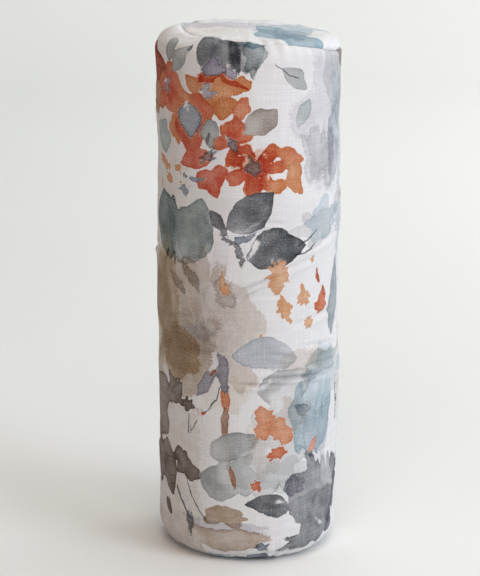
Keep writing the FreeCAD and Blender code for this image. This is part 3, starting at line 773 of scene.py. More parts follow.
def blue_strokes(cloth):
    """Blue strokes down the right."""
    blade(cloth, (130, 350), 90, 30, -96, 0, 0.6, 1, slate=0.5, sage=0.2)
    wash(cloth, "sage", (100, 232), (70, 30), 14, 0.3, 3.0, 0.14, 53)
    wash(cloth, "beige", (80, 236), (50, 22), 14, 0.3, 3.0, 0.14, 54)
    wash(cloth, "sky", (104, 214), (70, 64), 0, 0.36, 5.0, 0.14, 55)
    streaks(cloth, "sky", (84, 166), (56, 96), 4, 0.6, 88, 56, 1.6)
    streaks(cloth, "slate", (92, 152), (40, 70), 3, 0.34, 88, 57, 4)
    wash(cloth, "grey", (44, 180), (60, 66), 0, 0.2, 5.0, 0.14, 58)
    wash(cloth, "beige", (56, 178), (34, 40), 0, 0.3, 5.0, 0.14, 59)
    blade(cloth, (137, 232), 82, 6, -90, 0, 0.5, 1.2, over=True, charcoal=0.7)


def brown_marks(cloth):
    """Brown marks under the bloom, over a broad wash of painted warm shade at the lower left."""
    # A broad, very soft beige wash at the lower left: painted warm shade on the side away from the light.
    wash(cloth, "beige", (-122, 100), (130, 240), 0, 0.3, 14, 0.05, 60)
    wash(cloth, "umber", (-142, 176), (64, 90), 0, 0.45, 2.5, 0.12, 61)
    mark(cloth, (-100, 196), (36, 26), -60, 0.12, 6, 2, umber=0.6)
    mark(cloth, (-92, 196), (30, 18), -60, 0.12, 6, 1, umber=0.75)
    mark(cloth, (-74, 184), (16, 17), 0, 0.12, 5, umber=0.8)


def lilac_sprig(cloth):
    """A sprig with lilac petals."""
    blade(cloth, (-41, 214), 34, 11, -92, orange=0.9, coral=0.3)
    blade(cloth, (-41, 192), 46, 10, -90, 0, 0.5, 1, umber=0.3, rust=0.2)
    mark(cloth, (-39, 230), (44, 15), 84, 0.09, 4, 1.4, lilac=0.6, charcoal=0.28)
    mark(cloth, (-19, 214), (36, 15), -58, 0.09, lilac=0.5, charcoal=0.28)
    mark(cloth, (-28, 226), (11, 3), -50, 0.1, 4, 0.8, rust=0.8)
    cloth.stem([(-36, 212), (-30, 190), (-15, 178)], 0.8)
    mark(cloth, (-15, 177), (6, 4), 0, 0.1, 4, 0.8, coral=1.1)


def brown_leaves(cloth):
    """Brown leaves with long stalks."""
    leaf(cloth, "umber", (-116, 136), 70, 36, -78, 0.9, -3, 0.45, 0.9, 0.15)
    mark(cloth, (-134, 104), (60, 30), 90, 0.1, 4, 1.4, umber=0.8)
    mark(cloth, (-84, 116), (34, 26), 110, 0.1, umber=0.85)
    mark(cloth, (-70, 104), (26, 20), -20, 0.08, 3, umber=0.72)
    cloth.stem([(-76, 98), (-72, 74), (-50, 54)], 0.8)
    cloth.stem([(-92, 78), (-86, 66), (-78, 54)], 1.2)
    cloth.stem([(-74, 152), (-76, 162), (-73, 170)], 0.6)
    cloth.stem([(-70, 152), (-66, 160), (-60, 168)], 0.5)
    blade(cloth, (-118, 62), 22, 12, -60, 0, 0.4, 0.9, umber=0.9)


def grey_leaves(cloth):
    """Two grey leaves."""
    leaf(cloth, "grey", (-24, 130), 62, 34, 158, 1.0, -3, 0.42)
    leaf(cloth, "grey", (-62, 92), 54, 44, 14, 0.95, 0, 0.5)
    blade(cloth, (-52, 90), 32, 7, 88, soft=1, over=True, rust=0.45)


def grey_washes(cloth):
    """Grey washes round the lower touches."""
    wash(cloth, "grey", (2, 110), (70, 50), 0, 0.5, 1.4, 0.1, 71)
    wash(cloth, "grey", (32, 126), (70, 90), 0, 0.26, 1.6, 0.12, 72)
    wash(cloth, "sage", (-6, 112), (30, 40), 0, 0.16, 2.0, 0.12, 73)
    wash(cloth, "sage", (40, 106), (60, 40), 0, 0.14, 3.0, 0.12, 74)
    wash(cloth, "beige", (20, 142), (44, 70), 0, 0.2, 4.0, 0.12, 75)
    wipe(cloth, (22, 138), (10, 5), 20, 6, 0.2, 70, 0, 1.0)


def lower_touches(cloth):
    """A cluster of orange touches."""
    dabs(cloth, [(-14, 158, 34, 26, 40), (4, 176, 28, 20, 70), (8, 160, 24, 18, 100)],
         0.06, 13, 0.8, orange=0.75, coral=0.2)
    dabs(cloth, [(-10, 134, 25, 14, -12), (15, 96, 13, 12, 70)], 0.09, 12, 0.8, orange=0.6, coral=0.6)


def foot(cloth):
    """A charcoal bloom at the right, and beige and brown marks along the foot."""
    streaks(cloth, "charcoal", (106, 86), (62, 70), 5, 0.42, 96, 76, 1.4, 10)
    glaze(cloth, (72, 88), (50, 44), 0, 0.08, 5, charcoal=0.4)
    glaze(cloth, (76, 60), (46, 44), 0, 0.08, 5, charcoal=0.5)
    glaze(cloth, (102, 50), (60, 56), 30, 0.08, charcoal=0.6)
    blade(cloth, (110, 22), 96, 12, 68, soft=2, over=True, charcoal=0.9)
    glaze(cloth, (56, 92), (20, 24), 30, soft=1.6, lilac=0.7)
    blade(cloth, (76, 126), 24, 8, 58, soft=1, coral=0.5)
    leaf(cloth, "charcoal", (52, 66), 58, 28, 172, 0.85, -2, 0.4, 0.9, 0.12)
    wipe(cloth, (40, 74), (16, 3), 176, 4, 0.15, 81, 0.0, 0.8)
    wipe(cloth, (96, 40), (16, 4), 150, 4, 0.15, 83, 0.0, 0.8)

    glaze(cloth, (-72, 44), (30, 10), 96, 0.14, 5, 2.4, charcoal=0.5)
    glaze(cloth, (-28, 58), (52, 22), -10, 0.1, 5, beige=0.9, olive=0.15)
    glaze(cloth, (-34, 30), (120, 26), -2, 0.08, 5, 1.4, beige=0.85)
    wash(cloth, "beige", (-112, 16), (120, 70), 0, 0.5, 5.0, 0.08, 82)
    glaze(cloth, (-34, 46), (84, 12), -4, 0.12, 5, 3, lilac=0.4)
    glaze(cloth, (70, 26), (56, 24), 20, 0.14, 6, 2.4, charcoal=0.55)
    glaze(cloth, (16, 22), (16, 10), 20, 0.14, 6, 1.6, slate=1.1)


# In the order of printing: motifs, and the place across about which they are turned round
PRINT = [
    (pale_right, None),
    (dark_bloom, -38),
    (left_marks, None),
    (flower_cluster, -36),
    (flecks, -14),
    (sage_pair, None),
    (dark_leaves, 18),
    (blue_edge, None),
    (beige_bloom, None),
    (orange_touches, 62),
    (pale_leaves, 34),
    (blue_strokes, None),
    (brown_marks, None),
    (lilac_sprig, -34),
    (brown_leaves, None),
    (grey_leaves, -34),
    (grey_washes, None),
    (lower_touches, 12),
    (foot, None),
]
BACK_DROP = -260.0  # the print at the back starts this much lower


def side_print(across, up):
    """The side panel's print: the front, and the same repeat dropped and carried round the back."""
    cloth = Cloth(across, up, GIRTH)
    front, back = ((0.0, 0.0), None), ((GIRTH / 2, BACK_DROP), TOP_CENTRE - 40)
    for shift, repeat in (back, front):
        cloth.shift, cloth.repeat = shift, repeat
        for motifs, mirror in PRINT:
            cloth.mirror = mirror
            motifs(cloth)
    return cloth


def disc_print(x, y, top):
    """An end disc's print, cut from another place in the same cloth."""
    cloth = Cloth(x, y)
    if top:
        wash(cloth, "sky", (44, -40), (70, 110), 30, 0.95, 1.4, 0.12, 91)
        wash(cloth, "sky", (56, 20), (50, 80), 0, 0.5, 3.0, 0.16, 92)
        wash(cloth, "slate", (40, -30), (50, 60), 20, 0.3, 4.0, 0.16, 93)
        wash(cloth, "beige", (-50, -20), (90, 100), 0, 0.12, 8.0, 0.14, 94)
        wash(cloth, "lilac", (-30, 24), (100, 60), 10, 0.3, 6.0, 0.14, 95)
        wash(cloth, "coral", (-56, -30), (60, 24), 20, 0.03, 6.0, 0.14, 96)
    else:
        wash(cloth, "slate", (10, -86), (40, 22), 0, 0.9, 1.5, 0.12, 97)
        wash(cloth, "sky", (-20, -80), (60, 20), 0, 0.6, 3.0, 0.12, 98)
        streaks(cloth, "grey", (0, 0), (120, 90), 6, 0.8, 80, 99)
        flower(cloth, (20, 40), 34, "orange", "coral", 5, 30, "slate", 100)
        leaf(cloth, "charcoal", (-60, -20), 62, 34, 40, 0.9)
    return cloth


# ---------------------------------------------------------------- the cover

def spaced_rows(length):
    """Fractions from one seam to the other: close together at the seams, then an even grid."""
    near = np.array([0, 0.35, 0.8, 1.4, 2.2, 3.2])
    middle = np.linspace(4.6, length - 4.6, round((length - 9.2) / ROWS))
    return np.concatenate([near, middle, length - near[::-1]]) / length


def side_panel():
    """The wrapped panel, with its ends turned in at the seams and its edges turned in at the zip."""
    fractions = spaced_rows(BOTTOM_ROUND + WALL + 16)
    columns = round(GIRTH / COLUMNS)
    spread = np.linspace(-1, 1, columns)
    half = GIRTH / 2
    theta = spread * math.pi
    v = fractions[:, None]
    up = bottom_seam(theta) + (top_seam(theta) - bottom_seam(theta)) * v
    across = np.sign(spread) * (half - slot_half(up) - 0.45) * np.abs(spread)
    theta = across / RADIUS
    up = bottom_seam(theta) + (top_seam(theta) - bottom_seam(theta)) * v
    points = surface(theta, up)
    first, last = (surface(theta[[row]], up[[row]], -TURNED_IN) for row in (0, -1))
    points = np.concatenate([first, points, last])
    across = np.concatenate([across[:1], across, across[-1:]])
    up = np.concatenate([up[:1] - TURNED_IN, up, up[-1:] + TURNED_IN])

    def hem(edge, way):
        """Columns of points past one edge, and how far across each lies."""
        level = np.clip(up[:, edge], up[1, edge], up[-2, edge])
        places = [across[:, edge] + way * out for out, _ in HEM]
        columns = [surface(place / RADIUS, level, lift) for place, (_, lift) in zip(places, HEM)]
        return np.stack(columns[::way], 1), np.stack(places[::way], 1)

    (left, left_across), (right, right_across) = hem(0, -1), hem(-1, 1)
    points = np.concatenate([left, points, right], axis=1)
    across = np.concatenate([left_across, across, right_across], axis=1)
    up = np.pad(up, ((0, 0), (len(HEM), len(HEM))), mode="edge")
    piece = make_mesh("cover_side", points, grid_faces(*across.shape, False))
    side_print(across, up).store(piece.data)
    return piece


def end_disc(name, top):
    """One end of the cover, from the seam in to the middle."""
    seam = top_seam if top else bottom_seam
    centre = TOP_CENTRE if top else -BELOW
    columns = round(GIRTH / COLUMNS)
    theta = np.linspace(0, 2 * math.pi, columns, endpoint=False)[None]
    near = np.array([0, 0.35, 0.8, 1.4, 2.2, 3.2, 4.6]) / 90  # close together at the seam
    fractions = np.concatenate([near, np.linspace(6.4 / 90, 1, 42)])[:, None]
    up = seam(theta) + (centre - seam(theta)) * fractions
    points = surface(theta + 0 * up, up)
    turned = surface(theta, up[:1], -TURNED_IN)
    points = np.concatenate([turned, points])
    from_centre = np.abs(centre - np.concatenate([up[:1], up]))
    x, y = from_centre * np.sin(theta), -from_centre * np.cos(theta)
    piece = make_mesh(name, points, grid_faces(*from_centre.shape, True), flip=not top)
    disc_print(x, y, top).store(piece.data)
    return piece


# ---------------------------------------------------------------- materials

def linear(colour):
    """sRGB to linear light."""
    return tuple(c / 12.92 if c <= 0.04045 else ((c + 0.055) / 1.055) ** 2.4 for c in colour)


def opaque(colour, part=1.0):
    """A shader's colour from a part of an sRGB one."""
    return (*linear(tuple(c * part for c in colour)), 1)


class Graph:
    """A material's node tree, built call by call."""

    def __init__(self, name):
        self.material = bpy.data.materials.new(name)
        self.material.use_nodes = True
        self.tree = self.material.node_tree
        self.tree.nodes.clear()

    def node(self, kind, inputs=None, **settings):
        """A new node, with a number, a colour or a link for each named input."""
        made = self.tree.nodes.new(kind)
        for key, value in settings.items():
            setattr(made, key, value)
        for key, value in (inputs or {}).items():
            self.feed(made.inputs[key], value)
        return made

    def feed(self, socket, value):
        if isinstance(value, bpy.types.NodeSocket):
            self.tree.links.new(value, socket)
        else:
            socket.default_value = value

    def math(self, operation, *values):
        return self.node("ShaderNodeMath", dict(enumerate(values)), operation=operation).outputs[0]

    def add(self, *values):
        return functools.reduce(lambda total, value: self.math("ADD", total, value), values)

    def times(self, *values):
        return functools.reduce(lambda total, value: self.math("MULTIPLY", total, value), values)

    def ramp(self, value, low, high, to_low=0.0, to_high=1.0, steps="SMOOTHSTEP"):
        sockets = {"Value": value, "From Min": low, "From Max": high, "To Min": to_low, "To Max": to_high}
        return self.node("ShaderNodeMapRange", sockets, interpolation_type=steps).outputs["Result"]

    def vectors(self, operation, first, second):
        """Adds or multiplies two vectors, or scales one."""
        key = "Scale" if operation == "SCALE" else 1
        return self.node("ShaderNodeVectorMath", {0: first, key: second}, operation=operation).outputs[0]

    def split(self, vector):
        return self.node("ShaderNodeSeparateXYZ", {0: vector}).outputs

    def stored(self, name):
        """A vector stored on the mesh."""
        return self.node("ShaderNodeAttribute", attribute_name=name).outputs["Vector"]

    def noise(self, place, scale, detail=3.0, roughness=0.5, stretch=None):
        if stretch:
            place = self.vectors("MULTIPLY", place, stretch)
        sockets = {"Vector": place, "Scale": scale, "Detail": detail, "Roughness": roughness}
        made = self.node("ShaderNodeTexNoise", sockets)
        return made.outputs["Fac"], made.outputs["Color"]

    def mix(self, factor, first, second):
        made = self.node("ShaderNodeMix", {"Factor": factor}, data_type="RGBA")
        for socket, colour in zip([s for s in made.inputs if s.type == "RGBA"], (first, second)):
            self.feed(socket, colour)
        return next(s for s in made.outputs if s.type == "RGBA")

    def finish(self, colour, roughness, height=None, bump=0.5, distance=0.0004, **sockets):
        """The finished material. Sockets are named as in Blender, with underscores."""
        shader = self.node("ShaderNodeBsdfPrincipled", {"Base Color": colour, "Roughness": roughness})
        for key, value in sockets.items():
            self.feed(shader.inputs[key.replace("_", " ")], value)
        if height is not None:
            made = self.node("ShaderNodeBump", {"Height": height, "Strength": bump, "Distance": distance})
            self.feed(shader.inputs["Normal"], made.outputs[0])
        out = self.node("ShaderNodeOutputMaterial")
        self.tree.links.new(shader.outputs[0], out.inputs[0])
        return self.material


def absorption(ink):
    """How much of each colour of light one coat of ink takes away."""
    return tuple(-math.log(max(c, 0.004)) for c in linear(INKS[ink]))


def object_place(g):
    """Object coordinates in millimetres."""
    return g.vectors("MULTIPLY", g.node("ShaderNodeTexCoord").outputs["Object"], (1000, 1000, 1000))


def thread_pair(g, place, pitch):
    """Height of a plain weave: threads that pass over and under each other."""
    parts = g.split(place)
    turn = math.pi / pitch
    x = g.math("SINE", g.times(parts["X"], turn))
    y = g.math("SINE", g.times(parts["Y"], turn))
    warp = g.math("ABSOLUTE", x)
    weft = g.math("ABSOLUTE", y)
    over = g.ramp(g.times(x, y), -0.2, 0.2)
    return g.add(g.times(warp, over), g.times(weft, g.math("SUBTRACT", 1.0, over)))


def printed_linen():
    """Slubby off-white linen with the watercolour print sunk into it."""
    g = Graph("printed_linen")
    place = g.stored("cloth")
    wide, wide_colour = g.noise(place, 0.045, 4, 0.55)
    fine, fine_colour = g.noise(place, 0.42, 3, 0.6)
    grain, _ = g.noise(place, 0.75, 2, 0.75)
    wide_rgb = g.node("ShaderNodeSeparateColor", {0: wide_colour}).outputs
    fine_rgb = g.node("ShaderNodeSeparateColor", {0: fine_colour}).outputs
    weave = thread_pair(g, place, 0.8)
    slub_up, _ = g.noise(place, 1.0, 2, 0.5, (0.9, 0.025, 0))
    slub_across, _ = g.noise(place, 1.0, 2, 0.5, (0.02, 0.8, 0))
    slubs = g.add(g.ramp(slub_up, 0.42, 0.72), g.ramp(slub_across, 0.42, 0.72))

    def about_zero(noise, reach):
        return g.times(g.math("SUBTRACT", noise, 0.5), reach)

    layers = []  # how much light each ink absorbs
    for number, inks in enumerate(INK_GROUPS):
        edges, tones = g.split(g.stored(f"edge_{number}")), g.split(g.stored(f"tone_{number}"))
        for axis, channel, ink in zip("XYZ", ("Red", "Green", "Blue"), inks):
            wander = (about_zero(wide_rgb[channel], 2.5), about_zero(fine_rgb[channel], 2.6))
            edge = g.add(edges[axis], *wander)
            rim = g.times(g.ramp(edge, -1.1, -0.1), RIMS.get(ink, PLAIN_RIM))
            pool = g.ramp(wide_rgb[channel], 0.28, 0.72, 0.74, 1.24)
            body = g.add(pool, rim, about_zero(grain, 2.2))
            amount = g.math("MAXIMUM", g.times(g.ramp(edge, 0.5, -0.5), tones[axis], body), 0.0)
            layers.append(g.vectors("SCALE", absorption(ink), amount))

    stems = g.split(g.stored("stems"))
    side = g.math("ABSOLUTE", g.add(stems["X"], about_zero(fine_rgb["Red"], 1.2)))
    width = g.times(stems["Z"], g.ramp(wide, 0.3, 0.7, 0.6, 1.4))
    line = g.ramp(g.math("SUBTRACT", side, width), 0.35, -0.35)
    line = g.times(line, g.ramp(stems["Y"], 3.2, 2.6), 0.8)
    layers.append(g.vectors("SCALE", absorption("charcoal"), line))

    absorbed = functools.reduce(lambda total, layer: g.vectors("ADD", total, layer), layers)
    absorbed = g.split(g.vectors("SCALE", absorbed, g.ramp(slubs, 0.0, 2.0, 1.06, 0.87, "LINEAR")))
    through = [g.math("EXPONENT", g.times(absorbed[axis], -1.0)) for axis in "XYZ"]
    through = g.node("ShaderNodeCombineXYZ", dict(enumerate(through))).outputs[0]

    bare = g.mix(g.ramp(slubs, 0.2, 1.8), opaque((0.850, 0.846, 0.855)), opaque((0.902, 0.899, 0.908)))
    bare = g.mix(g.ramp(wide, 0.3, 0.7, 0.0, 0.25), bare, opaque((0.865, 0.855, 0.855)))
    # The colour is darker down between the threads of the weave and a little lighter on their tops: painted
    # shade.
    colour = g.vectors("SCALE", g.vectors("MULTIPLY", bare, through), g.ramp(weave, 0.0, 1.0, 0.9, 1.03))
    height = g.add(g.times(weave, 0.5), g.times(slubs, 0.35), g.times(fine, 0.25))
    gloss = {"Sheen_Weight": 0.04, "Sheen_Roughness": 0.5, "Specular_IOR_Level": 0.25}
    return g.finish(colour, g.ramp(slubs, 0, 2, 0.92, 0.8), height, 0.35, 0.0005, **gloss)


def woven(name, colour, pitch, bump=0.4):
    """Plain cloth of one colour, such as tape or calico."""
    g = Graph(name)
    place = object_place(g)
    mottled, _ = g.noise(place, 0.05, 4)
    flecks, _ = g.noise(place, 1.4, 2)
    parts = g.split(place)
    turned = g.node("ShaderNodeCombineXYZ", {0: g.add(parts["X"], parts["Y"]), 1: parts["Z"]}).outputs[0]
    amount = g.add(g.times(mottled, 0.5), g.times(flecks, 0.5))
    height = g.add(thread_pair(g, turned, pitch), g.times(flecks, 0.5))
    return g.finish(g.mix(amount, opaque(colour, 0.76), opaque(colour)), 0.9, height, bump, pitch / 2500)


def moulded(name, colour):
    """Nylon with a faint flow texture."""
    g = Graph(name)
    place = object_place(g)
    cloudy, _ = g.noise(place, 0.5, 3)
    fine, _ = g.noise(place, 9.0, 2)
    shade = g.mix(cloudy, opaque(colour, 0.92), opaque(colour))
    return g.finish(shade, g.ramp(fine, 0.3, 0.7, 0.29, 0.45), fine, 0.15, 0.00005)


def cast_metal(name, colour, roughness):
    """Plated zinc: bright, with tumbling marks and duller, rubbed patches."""
    g = Graph(name)
    place = object_place(g)
    patches, _ = g.noise(place, 0.35, 5, 0.6)
    marks, _ = g.noise(place, 6.0, 3, 0.6, (1.0, 1.0, 0.15))
    shade = g.mix(g.ramp(patches, 0.35, 0.7), opaque(colour), opaque(colour, 0.94))
    rough = g.add(g.ramp(patches, 0.3, 0.7, roughness - 0.03, roughness + 0.05), g.times(marks, 0.08))
    return g.finish(shade, rough, marks, 0.12, 0.00004, Metallic=1.0)


def spun(name, colour, scale):
    """Matted fibres: batting."""
    g = Graph(name)
    place = object_place(g)
    lumps, _ = g.noise(place, 0.06, 4, 0.6)
    fibre, _ = g.noise(place, scale, 6, 0.75, (1.0, 1.0, 0.35))
    # Darker where the lumps and fibres are low: painted shade in the batting's hollows.
    shade = g.mix(g.times(lumps, fibre), opaque(colour, 0.84), opaque(colour))
    return g.finish(shade, 0.95, g.add(g.times(lumps, 2.0), fibre), 0.8, 0.002, Sheen_Weight=0.3)


def open_foam(name, colour):
    """Polyurethane foam: small open cells."""
    g = Graph(name)
    place = object_place(g)
    cells = g.node("ShaderNodeTexVoronoi", {"Vector": place, "Scale": 1.1}, feature="F1").outputs["Distance"]
    cloudy, _ = g.noise(place, 0.02, 4)
    # Each cell is darker towards its hollow middle: painted shade in the pores.
    shade = g.mix(cells, opaque(colour, 0.72), opaque(colour))
    return g.finish(g.mix(g.times(cloudy, 0.3), shade, opaque(colour, 0.9)), 0.93, cells, 0.6, 0.0005)


def twisted_thread(name):
    """Sewing thread."""
    g = Graph(name)
    parts = g.split(object_place(g))
    turns = [g.times(parts[axis], rate) for axis, rate in (("Z", 9.0), ("X", 12.0), ("Y", 6.0))]
    twist = g.math("SINE", g.add(*turns))
    # Darker in the grooves of the twist: painted shade.
    shade = g.mix(g.ramp(twist, -1, 1), opaque((0.66, 0.62, 0.57)), opaque((0.86, 0.83, 0.79)))
    return g.finish(shade, 0.6, twist, 0.5, 0.0001, Sheen_Weight=0.2)


def put(material, *pieces):
    """Gives each piece, or CAD node by name, one material."""
    for piece in pieces:
        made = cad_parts[piece] if isinstance(piece, str) else piece
        made.data.materials.clear()
        made.data.materials.append(material)


# ---------------------------------------------------------------- zip, thread and filling

COIL_START, COIL_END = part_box("zip_coil_right")
ZIP_Y = COIL_START.y * 1000
COIL_LOW, COIL_HIGH = COIL_START.z * 1000, COIL_END.z * 1000
COIL_PITCH = 1.4
PART_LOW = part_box("slider_body")[0].z * 1000 + 4.0  # the chain parts from here, inside the slider
PART_HIGH = PART_LOW + 3.0
STITCH_DIP = np.array([-0.25, 0.16, 0.24, 0.16, -0.25])


def coil(name, way):
    """One side of the chain: a flattened nylon helix whose turns mesh with the other side's."""
    turns = (COIL_HIGH - COIL_LOW - 0.6) / COIL_PITCH
    t = np.linspace(0, turns, round(turns * 10))
    angle = 2 * math.pi * t
    z = COIL_LOW + 0.3 + COIL_PITCH * t + (COIL_PITCH / 2 if way < 0 else 0)
    z = np.minimum(z, COIL_HIGH - 0.1)
    x = 0.72 + 0.98 * np.cos(angle) + 1.25 * smooth(PART_LOW, PART_HIGH, z)
    y = ZIP_Y + 0.95 + 0.56 * np.sin(angle)
    return tubes(name, np.stack([way * x, y, z], axis=1)[None] / 1000, 0.00033, 6)


def cord_strip(name, way):
    """The sewn core cord that holds a coil to its tape."""
    z = np.linspace(COIL_LOW + 0.4, COIL_HIGH - 0.2, 300)
    x = 0.9 + 1.25 * smooth(PART_LOW, PART_HIGH, z)
    return tubes(name, np.stack([way * x, np.full_like(z, ZIP_Y + 0.95), z], axis=1)[None] / 1000, 0.00036, 8)


def topstitching():
    """Two rows of stitches beside the zip and a bar of stitches across each end."""
    pitch, length, beside = 3.4, 2.7, 9.0
    along = np.linspace(-0.5, 0.5, 5) * length
    paths = []
    for way in (-1, 1):
        for middle in np.arange(SLOT_LOW, SLOT_HIGH, pitch):
            paths.append(surface(np.full(5, way * (math.pi - beside / RADIUS)), middle + along, STITCH_DIP))
    for end in (SLOT_LOW - 1.5, SLOT_HIGH + 1.5):
        for middle in np.arange(-7.0, 7.1, pitch):
            paths.append(surface(math.pi - (middle + along) / RADIUS, np.full(5, float(end)), STITCH_DIP))
    return tubes("zip_stitches", paths, 0.00026, 6)


def seam_stitches(name, seam):
    """The stitches that join a disc to the side panel, deep in the seam's crease."""
    pitch, length = 3.2, 2.5
    along = np.linspace(-0.5, 0.5, 4) * length
    turns = [(middle + along) / RADIUS for middle in np.arange(0, GIRTH, pitch)]
    paths = [surface(theta, seam(theta), np.array([-0.9, -0.45, -0.45, -0.9])) for theta in turns]
    return tubes(name, paths, 0.00024, 5)


class Hollows:
    """The lowest that the cover comes near any place, so that a coarser layer under it stays inside."""

    STEP = 2.5
    TURNS = 260
    REACH = 3

    def __init__(self):
        ups = np.arange(-BELOW, TOP_CENTRE + self.STEP, self.STEP)[:, None]
        turn = np.arange(self.TURNS)[None] * 2 * math.pi / self.TURNS
        lowest = relief(turn + 0 * ups, ups + 0 * turn)
        for _ in range(self.REACH):
            lowest = np.minimum(lowest, np.minimum(np.roll(lowest, 1, 1), np.roll(lowest, -1, 1)))
            lowest[1:-1] = np.minimum(lowest[1:-1], np.minimum(lowest[:-2], lowest[2:]))
        self.lowest = lowest

    def __call__(self, theta, up):
        """The lowest relief near a place."""
        row = np.clip(np.round((up + BELOW) / self.STEP).astype(int), 0, len(self.lowest) - 1)
        column = np.round(theta / (2 * math.pi) * self.TURNS).astype(int) % self.TURNS
        return self.lowest[row, column]


def inner_points(theta, up, inset, hollows, lump=0.0, seed=0):
    """Places on a layer of the pad: under the cover's hollows, rounder at its ends, flat behind the zip."""
    _, _, out, rise = outline(up)
    lumps = lump * (1 + 0.7 * swell(theta, up, seed, 60) + 0.3 * waves(theta, seed, 20, 44))
    off = np.minimum(hollows(theta, up), 0.2) - np.maximum(lumps, 0) - inset - PAD_EXTRA * np.abs(out * rise)
    points = roll(theta, up, off) * 1000
    points[..., 1] = np.minimum(points[..., 1], PAD_FACET - inset)
    return points


def ring(theta, radius, height):
    """One level circle of points."""
    return np.stack([radius * np.sin(theta), -radius * np.cos(theta), np.full_like(theta, height)], axis=-1)


def inner_layer(name, low, high, inset, hollows, lump=0.0, seed=0, floor=None, ceiling=None, core=None):
    """A layer of the pad between two heights along the cloth: thin cloth, or with a core radius, thick."""
    theta = np.linspace(0, 2 * math.pi, 128, endpoint=False)[None]
    low, high = low + 0 * theta, high + 0 * theta
    t = np.linspace(0, 1, max(3, round(np.max(high - low) / 5)))[:, None]
    points = inner_points(theta + 0 * t, low + (high - low) * t, inset, hollows, lump, seed)
    if core is not None:
        points[..., 2] = np.clip(points[..., 2], floor, ceiling)
        parts = [ring(theta, core, floor), points, ring(theta, core, ceiling)]
        if core > 0:
            parts.append(parts[0])
        points = np.concatenate(parts)
    return make_mesh(name, points / 1000, grid_faces(*points.shape[:2], True))


def pad():
    """The filled pad: calico casing, then batting round the foam. Its pieces by the CAD node they replace."""
    hollows = Hollows()
    foam_low, foam_high = (round(v.z * 1000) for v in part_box("foam_core"))
    foam_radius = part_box("foam_core")[1].x * 1000
    gap = 0.2
    low, high = -BELOW + 0.5, TOP_CENTRE - 0.5

    def cloth(name, start, end):
        return inner_layer(name, start, end, CASING_INSET, hollows)

    def wadding(name, start, end, seed, floor, ceiling, core=0.0):
        return inner_layer(name, start, end, FIBRE_INSET, hollows, 0.5, seed, floor, ceiling, core)

    return {
        "casing_side": cloth("casing_wrap", 8, LENGTH - 9),
        "casing_top_disc": cloth("casing_top", LENGTH - 9, high),
        "casing_bottom_disc": cloth("casing_bottom", low, 8),
        "batting_wrap": wadding("batting_roll", 8, LENGTH - 12, 31, foam_low, foam_high, foam_radius + gap),
        "batting_top_pad": wadding("batting_top", LENGTH - 14, high, 32, foam_high + gap, LENGTH),
        "batting_bottom_pad": wadding("batting_bottom", low, 10, 33, 0.0, foam_low - gap),
    }


# ---------------------------------------------------------------- scene

LAMPS = [  # place, what it points at, size, watts, colour
    ("window", (2.38, -1.55, 1.5), (0, 0, 0.3), (1.4, 2.0), 50, (0.83, 0.90, 1.0)),
    ("top", (0.9, 0.2, 3.2), (0.3, 0.2, 0), (2.6, 2.6), 45, (0.82, 0.95, 1.0)),
    ("ceiling", (0, 0, 4.0), (0, 0.001, 0), (6.0, 6.0), 34, (1.0, 0.83, 0.66)),
    ("back_top", (0, 2.8, 3.0), (0, 4.0, 0), (3.0, 1.5), 20, (0.87, 1.0, 0.97)),
    ("back_right", (2.6, 1.6, 1.8), (1.4, 4.2, 0.2), (1.4, 1.4), 48, (1.0, 0.98, 0.96)),
    ("front", (0, -1.5, 2.2), (0, -0.8, 0), (1.2, 0.8), 14, (1.0, 0.80, 0.65)),
    ("bounce", (-2.4, -2.0, 0.7), (0, 0, 0.3), (1.4, 1.4), 1.6, (1.0, 0.6, 0.42)),
]


def place_in_scene(name, data, place):
    """An object for a lamp or a camera."""
    made = bpy.data.objects.new(name, data)
    made.location = place
    bpy.context.scene.collection.objects.link(made)
    return made


def backdrop():
    """A pale round floor that curves up into a wall on every side."""
    floor, bend, top, turns = 3.2, 1.3, 3.4, 96
    rise = np.linspace(0.1, math.pi / 2, 14)
    profile = [(r, 0.0) for r in (0.0, 0.4, 1.2, floor)]
    profile += [(floor + bend * math.sin(a), bend - bend * math.cos(a)) for a in rise]
    profile += [(floor + bend, top)]
    angles = np.arange(turns) * 2 * math.pi / turns
    grid = np.array([[(r * math.sin(t), -r * math.cos(t), z) for t in angles] for r, z in profile])
    sweep = make_mesh("backdrop", grid, grid_faces(len(profile), turns, True))
    g = Graph("backdrop_paper")
    cloudy, _ = g.noise(g.node("ShaderNodeTexCoord").outputs["Object"], 0.8, 2)
    put(g.finish(g.mix(cloudy, opaque((0.905, 0.903, 0.90)), opaque((0.92, 0.918, 0.915))), 0.9), sweep)


def studio():
    """The backdrop, a broad soft light from the right with fill round it, and the photo's camera."""
    backdrop()
    scene = bpy.context.scene
    scene.world = bpy.data.worlds.new("studio")
    scene.world.use_nodes = True
    background = scene.world.node_tree.nodes["Background"].inputs
    background["Color"].default_value = (1.0, 0.75, 0.65, 1)
    background["Strength"].default_value = 0.04

    for name, place, target, size, power, colour in LAMPS:
        lamp = bpy.data.lights.new(name, "AREA")
        lamp.shape = "RECTANGLE"
        lamp.size, lamp.size_y = size
        lamp.energy = power
        lamp.color = colour
        made = place_in_scene(name, lamp, place)
        made.rotation_euler = (Vector(target) - Vector(place)).to_track_quat("-Z", "Y").to_euler()
        made.visible_camera = False

    camera = bpy.data.cameras.new("camera")
    camera.sensor_fit = "VERTICAL"
    camera.sensor_height = 36.0
    camera.lens = 134.2
    camera.clip_end = 50
    distance, height = 4.0 * LENGTH / 1000, 1.568 * LENGTH / 1000
    pitch, yaw = 0.2605, math.radians(0.224)
    scene.camera = place_in_scene("camera", camera, (0, -distance, height))
    scene.camera.rotation_euler = (math.pi / 2 - pitch, 0, yaw)
    scene.view_settings.view_transform = "Standard"


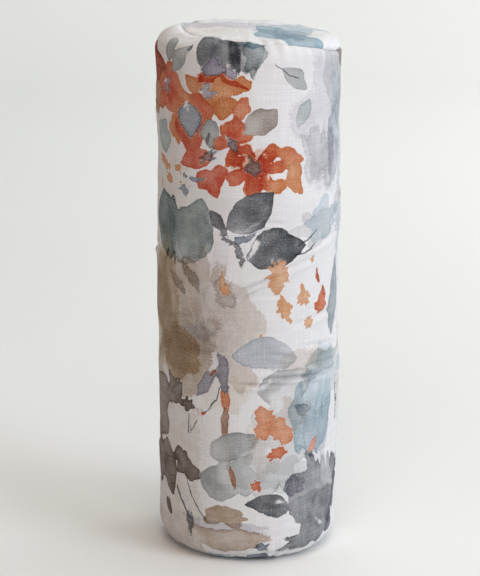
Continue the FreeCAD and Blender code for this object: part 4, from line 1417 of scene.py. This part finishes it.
def stand_in(piece, material, node=None):
    """Puts a piece on the cover's body, with its material, and in place of a CAD node."""
    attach(piece, "cover")
    if node:
        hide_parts(node)
    put(material, piece)


def build_cover():
    """The printed cover."""
    linen = printed_linen()
    panel, top, bottom = side_panel(), end_disc("cover_top", True), end_disc("cover_bottom", False)
    for piece, node in ((panel, "cover_side_panel"), (top, "cover_top_disc"), (bottom, "cover_bottom_disc")):
        stand_in(piece, linen, node)


def build_zip():
    """The zip's chain, tapes and metal parts."""
    nylon = moulded("zip_nylon", (0.86, 0.83, 0.77))
    core = woven("zip_core", (0.84, 0.81, 0.75), 0.5)
    for side, way in (("right", 1), ("left", -1)):
        stand_in(coil(f"zip_turns_{side}", way), nylon, f"zip_coil_{side}")
        stand_in(cord_strip(f"zip_core_{side}", way), core)
    put(woven("zip_tape", (0.83, 0.80, 0.74), 0.6, 0.5), "zip_tape_left", "zip_tape_right")
    put(cast_metal("plated_zinc", (0.78, 0.77, 0.75), 0.28), "slider_body", "slider_bridge", "pull_tab")
    put(cast_metal("spring_steel", (0.6, 0.6, 0.61), 0.35), "slider_lock_spring")
    put(cast_metal("stop_aluminium", (0.8, 0.8, 0.81), 0.35), "zip_top_stops", "zip_bottom_stop")


def build_thread():
    """All sewing."""
    thread = twisted_thread("sewing_thread")
    stand_in(topstitching(), thread, "zip_topstitching")
    for end, seam in (("top", top_seam), ("bottom", bottom_seam)):
        stand_in(seam_stitches(f"seam_stitches_{end}", seam), thread, f"{end}_seam_thread")
    put(thread, "side_seam_thread", "casing_seam_thread")


def build_pad():
    """The casing, the batting and the foam."""
    calico = woven("calico", (0.90, 0.86, 0.77), 0.7)
    batting = spun("batting", (0.96, 0.96, 0.95), 0.6)
    for node, piece in pad().items():
        if node.startswith("batting"):
            stand_in(piece, batting, node)
            continue
        stand_in(piece, calico, node)
    put(open_foam("foam", (0.93, 0.89, 0.72)), "foam_core")


SLACK.simulate()
build_cover()
build_zip()
build_thread()
build_pad()
studio()
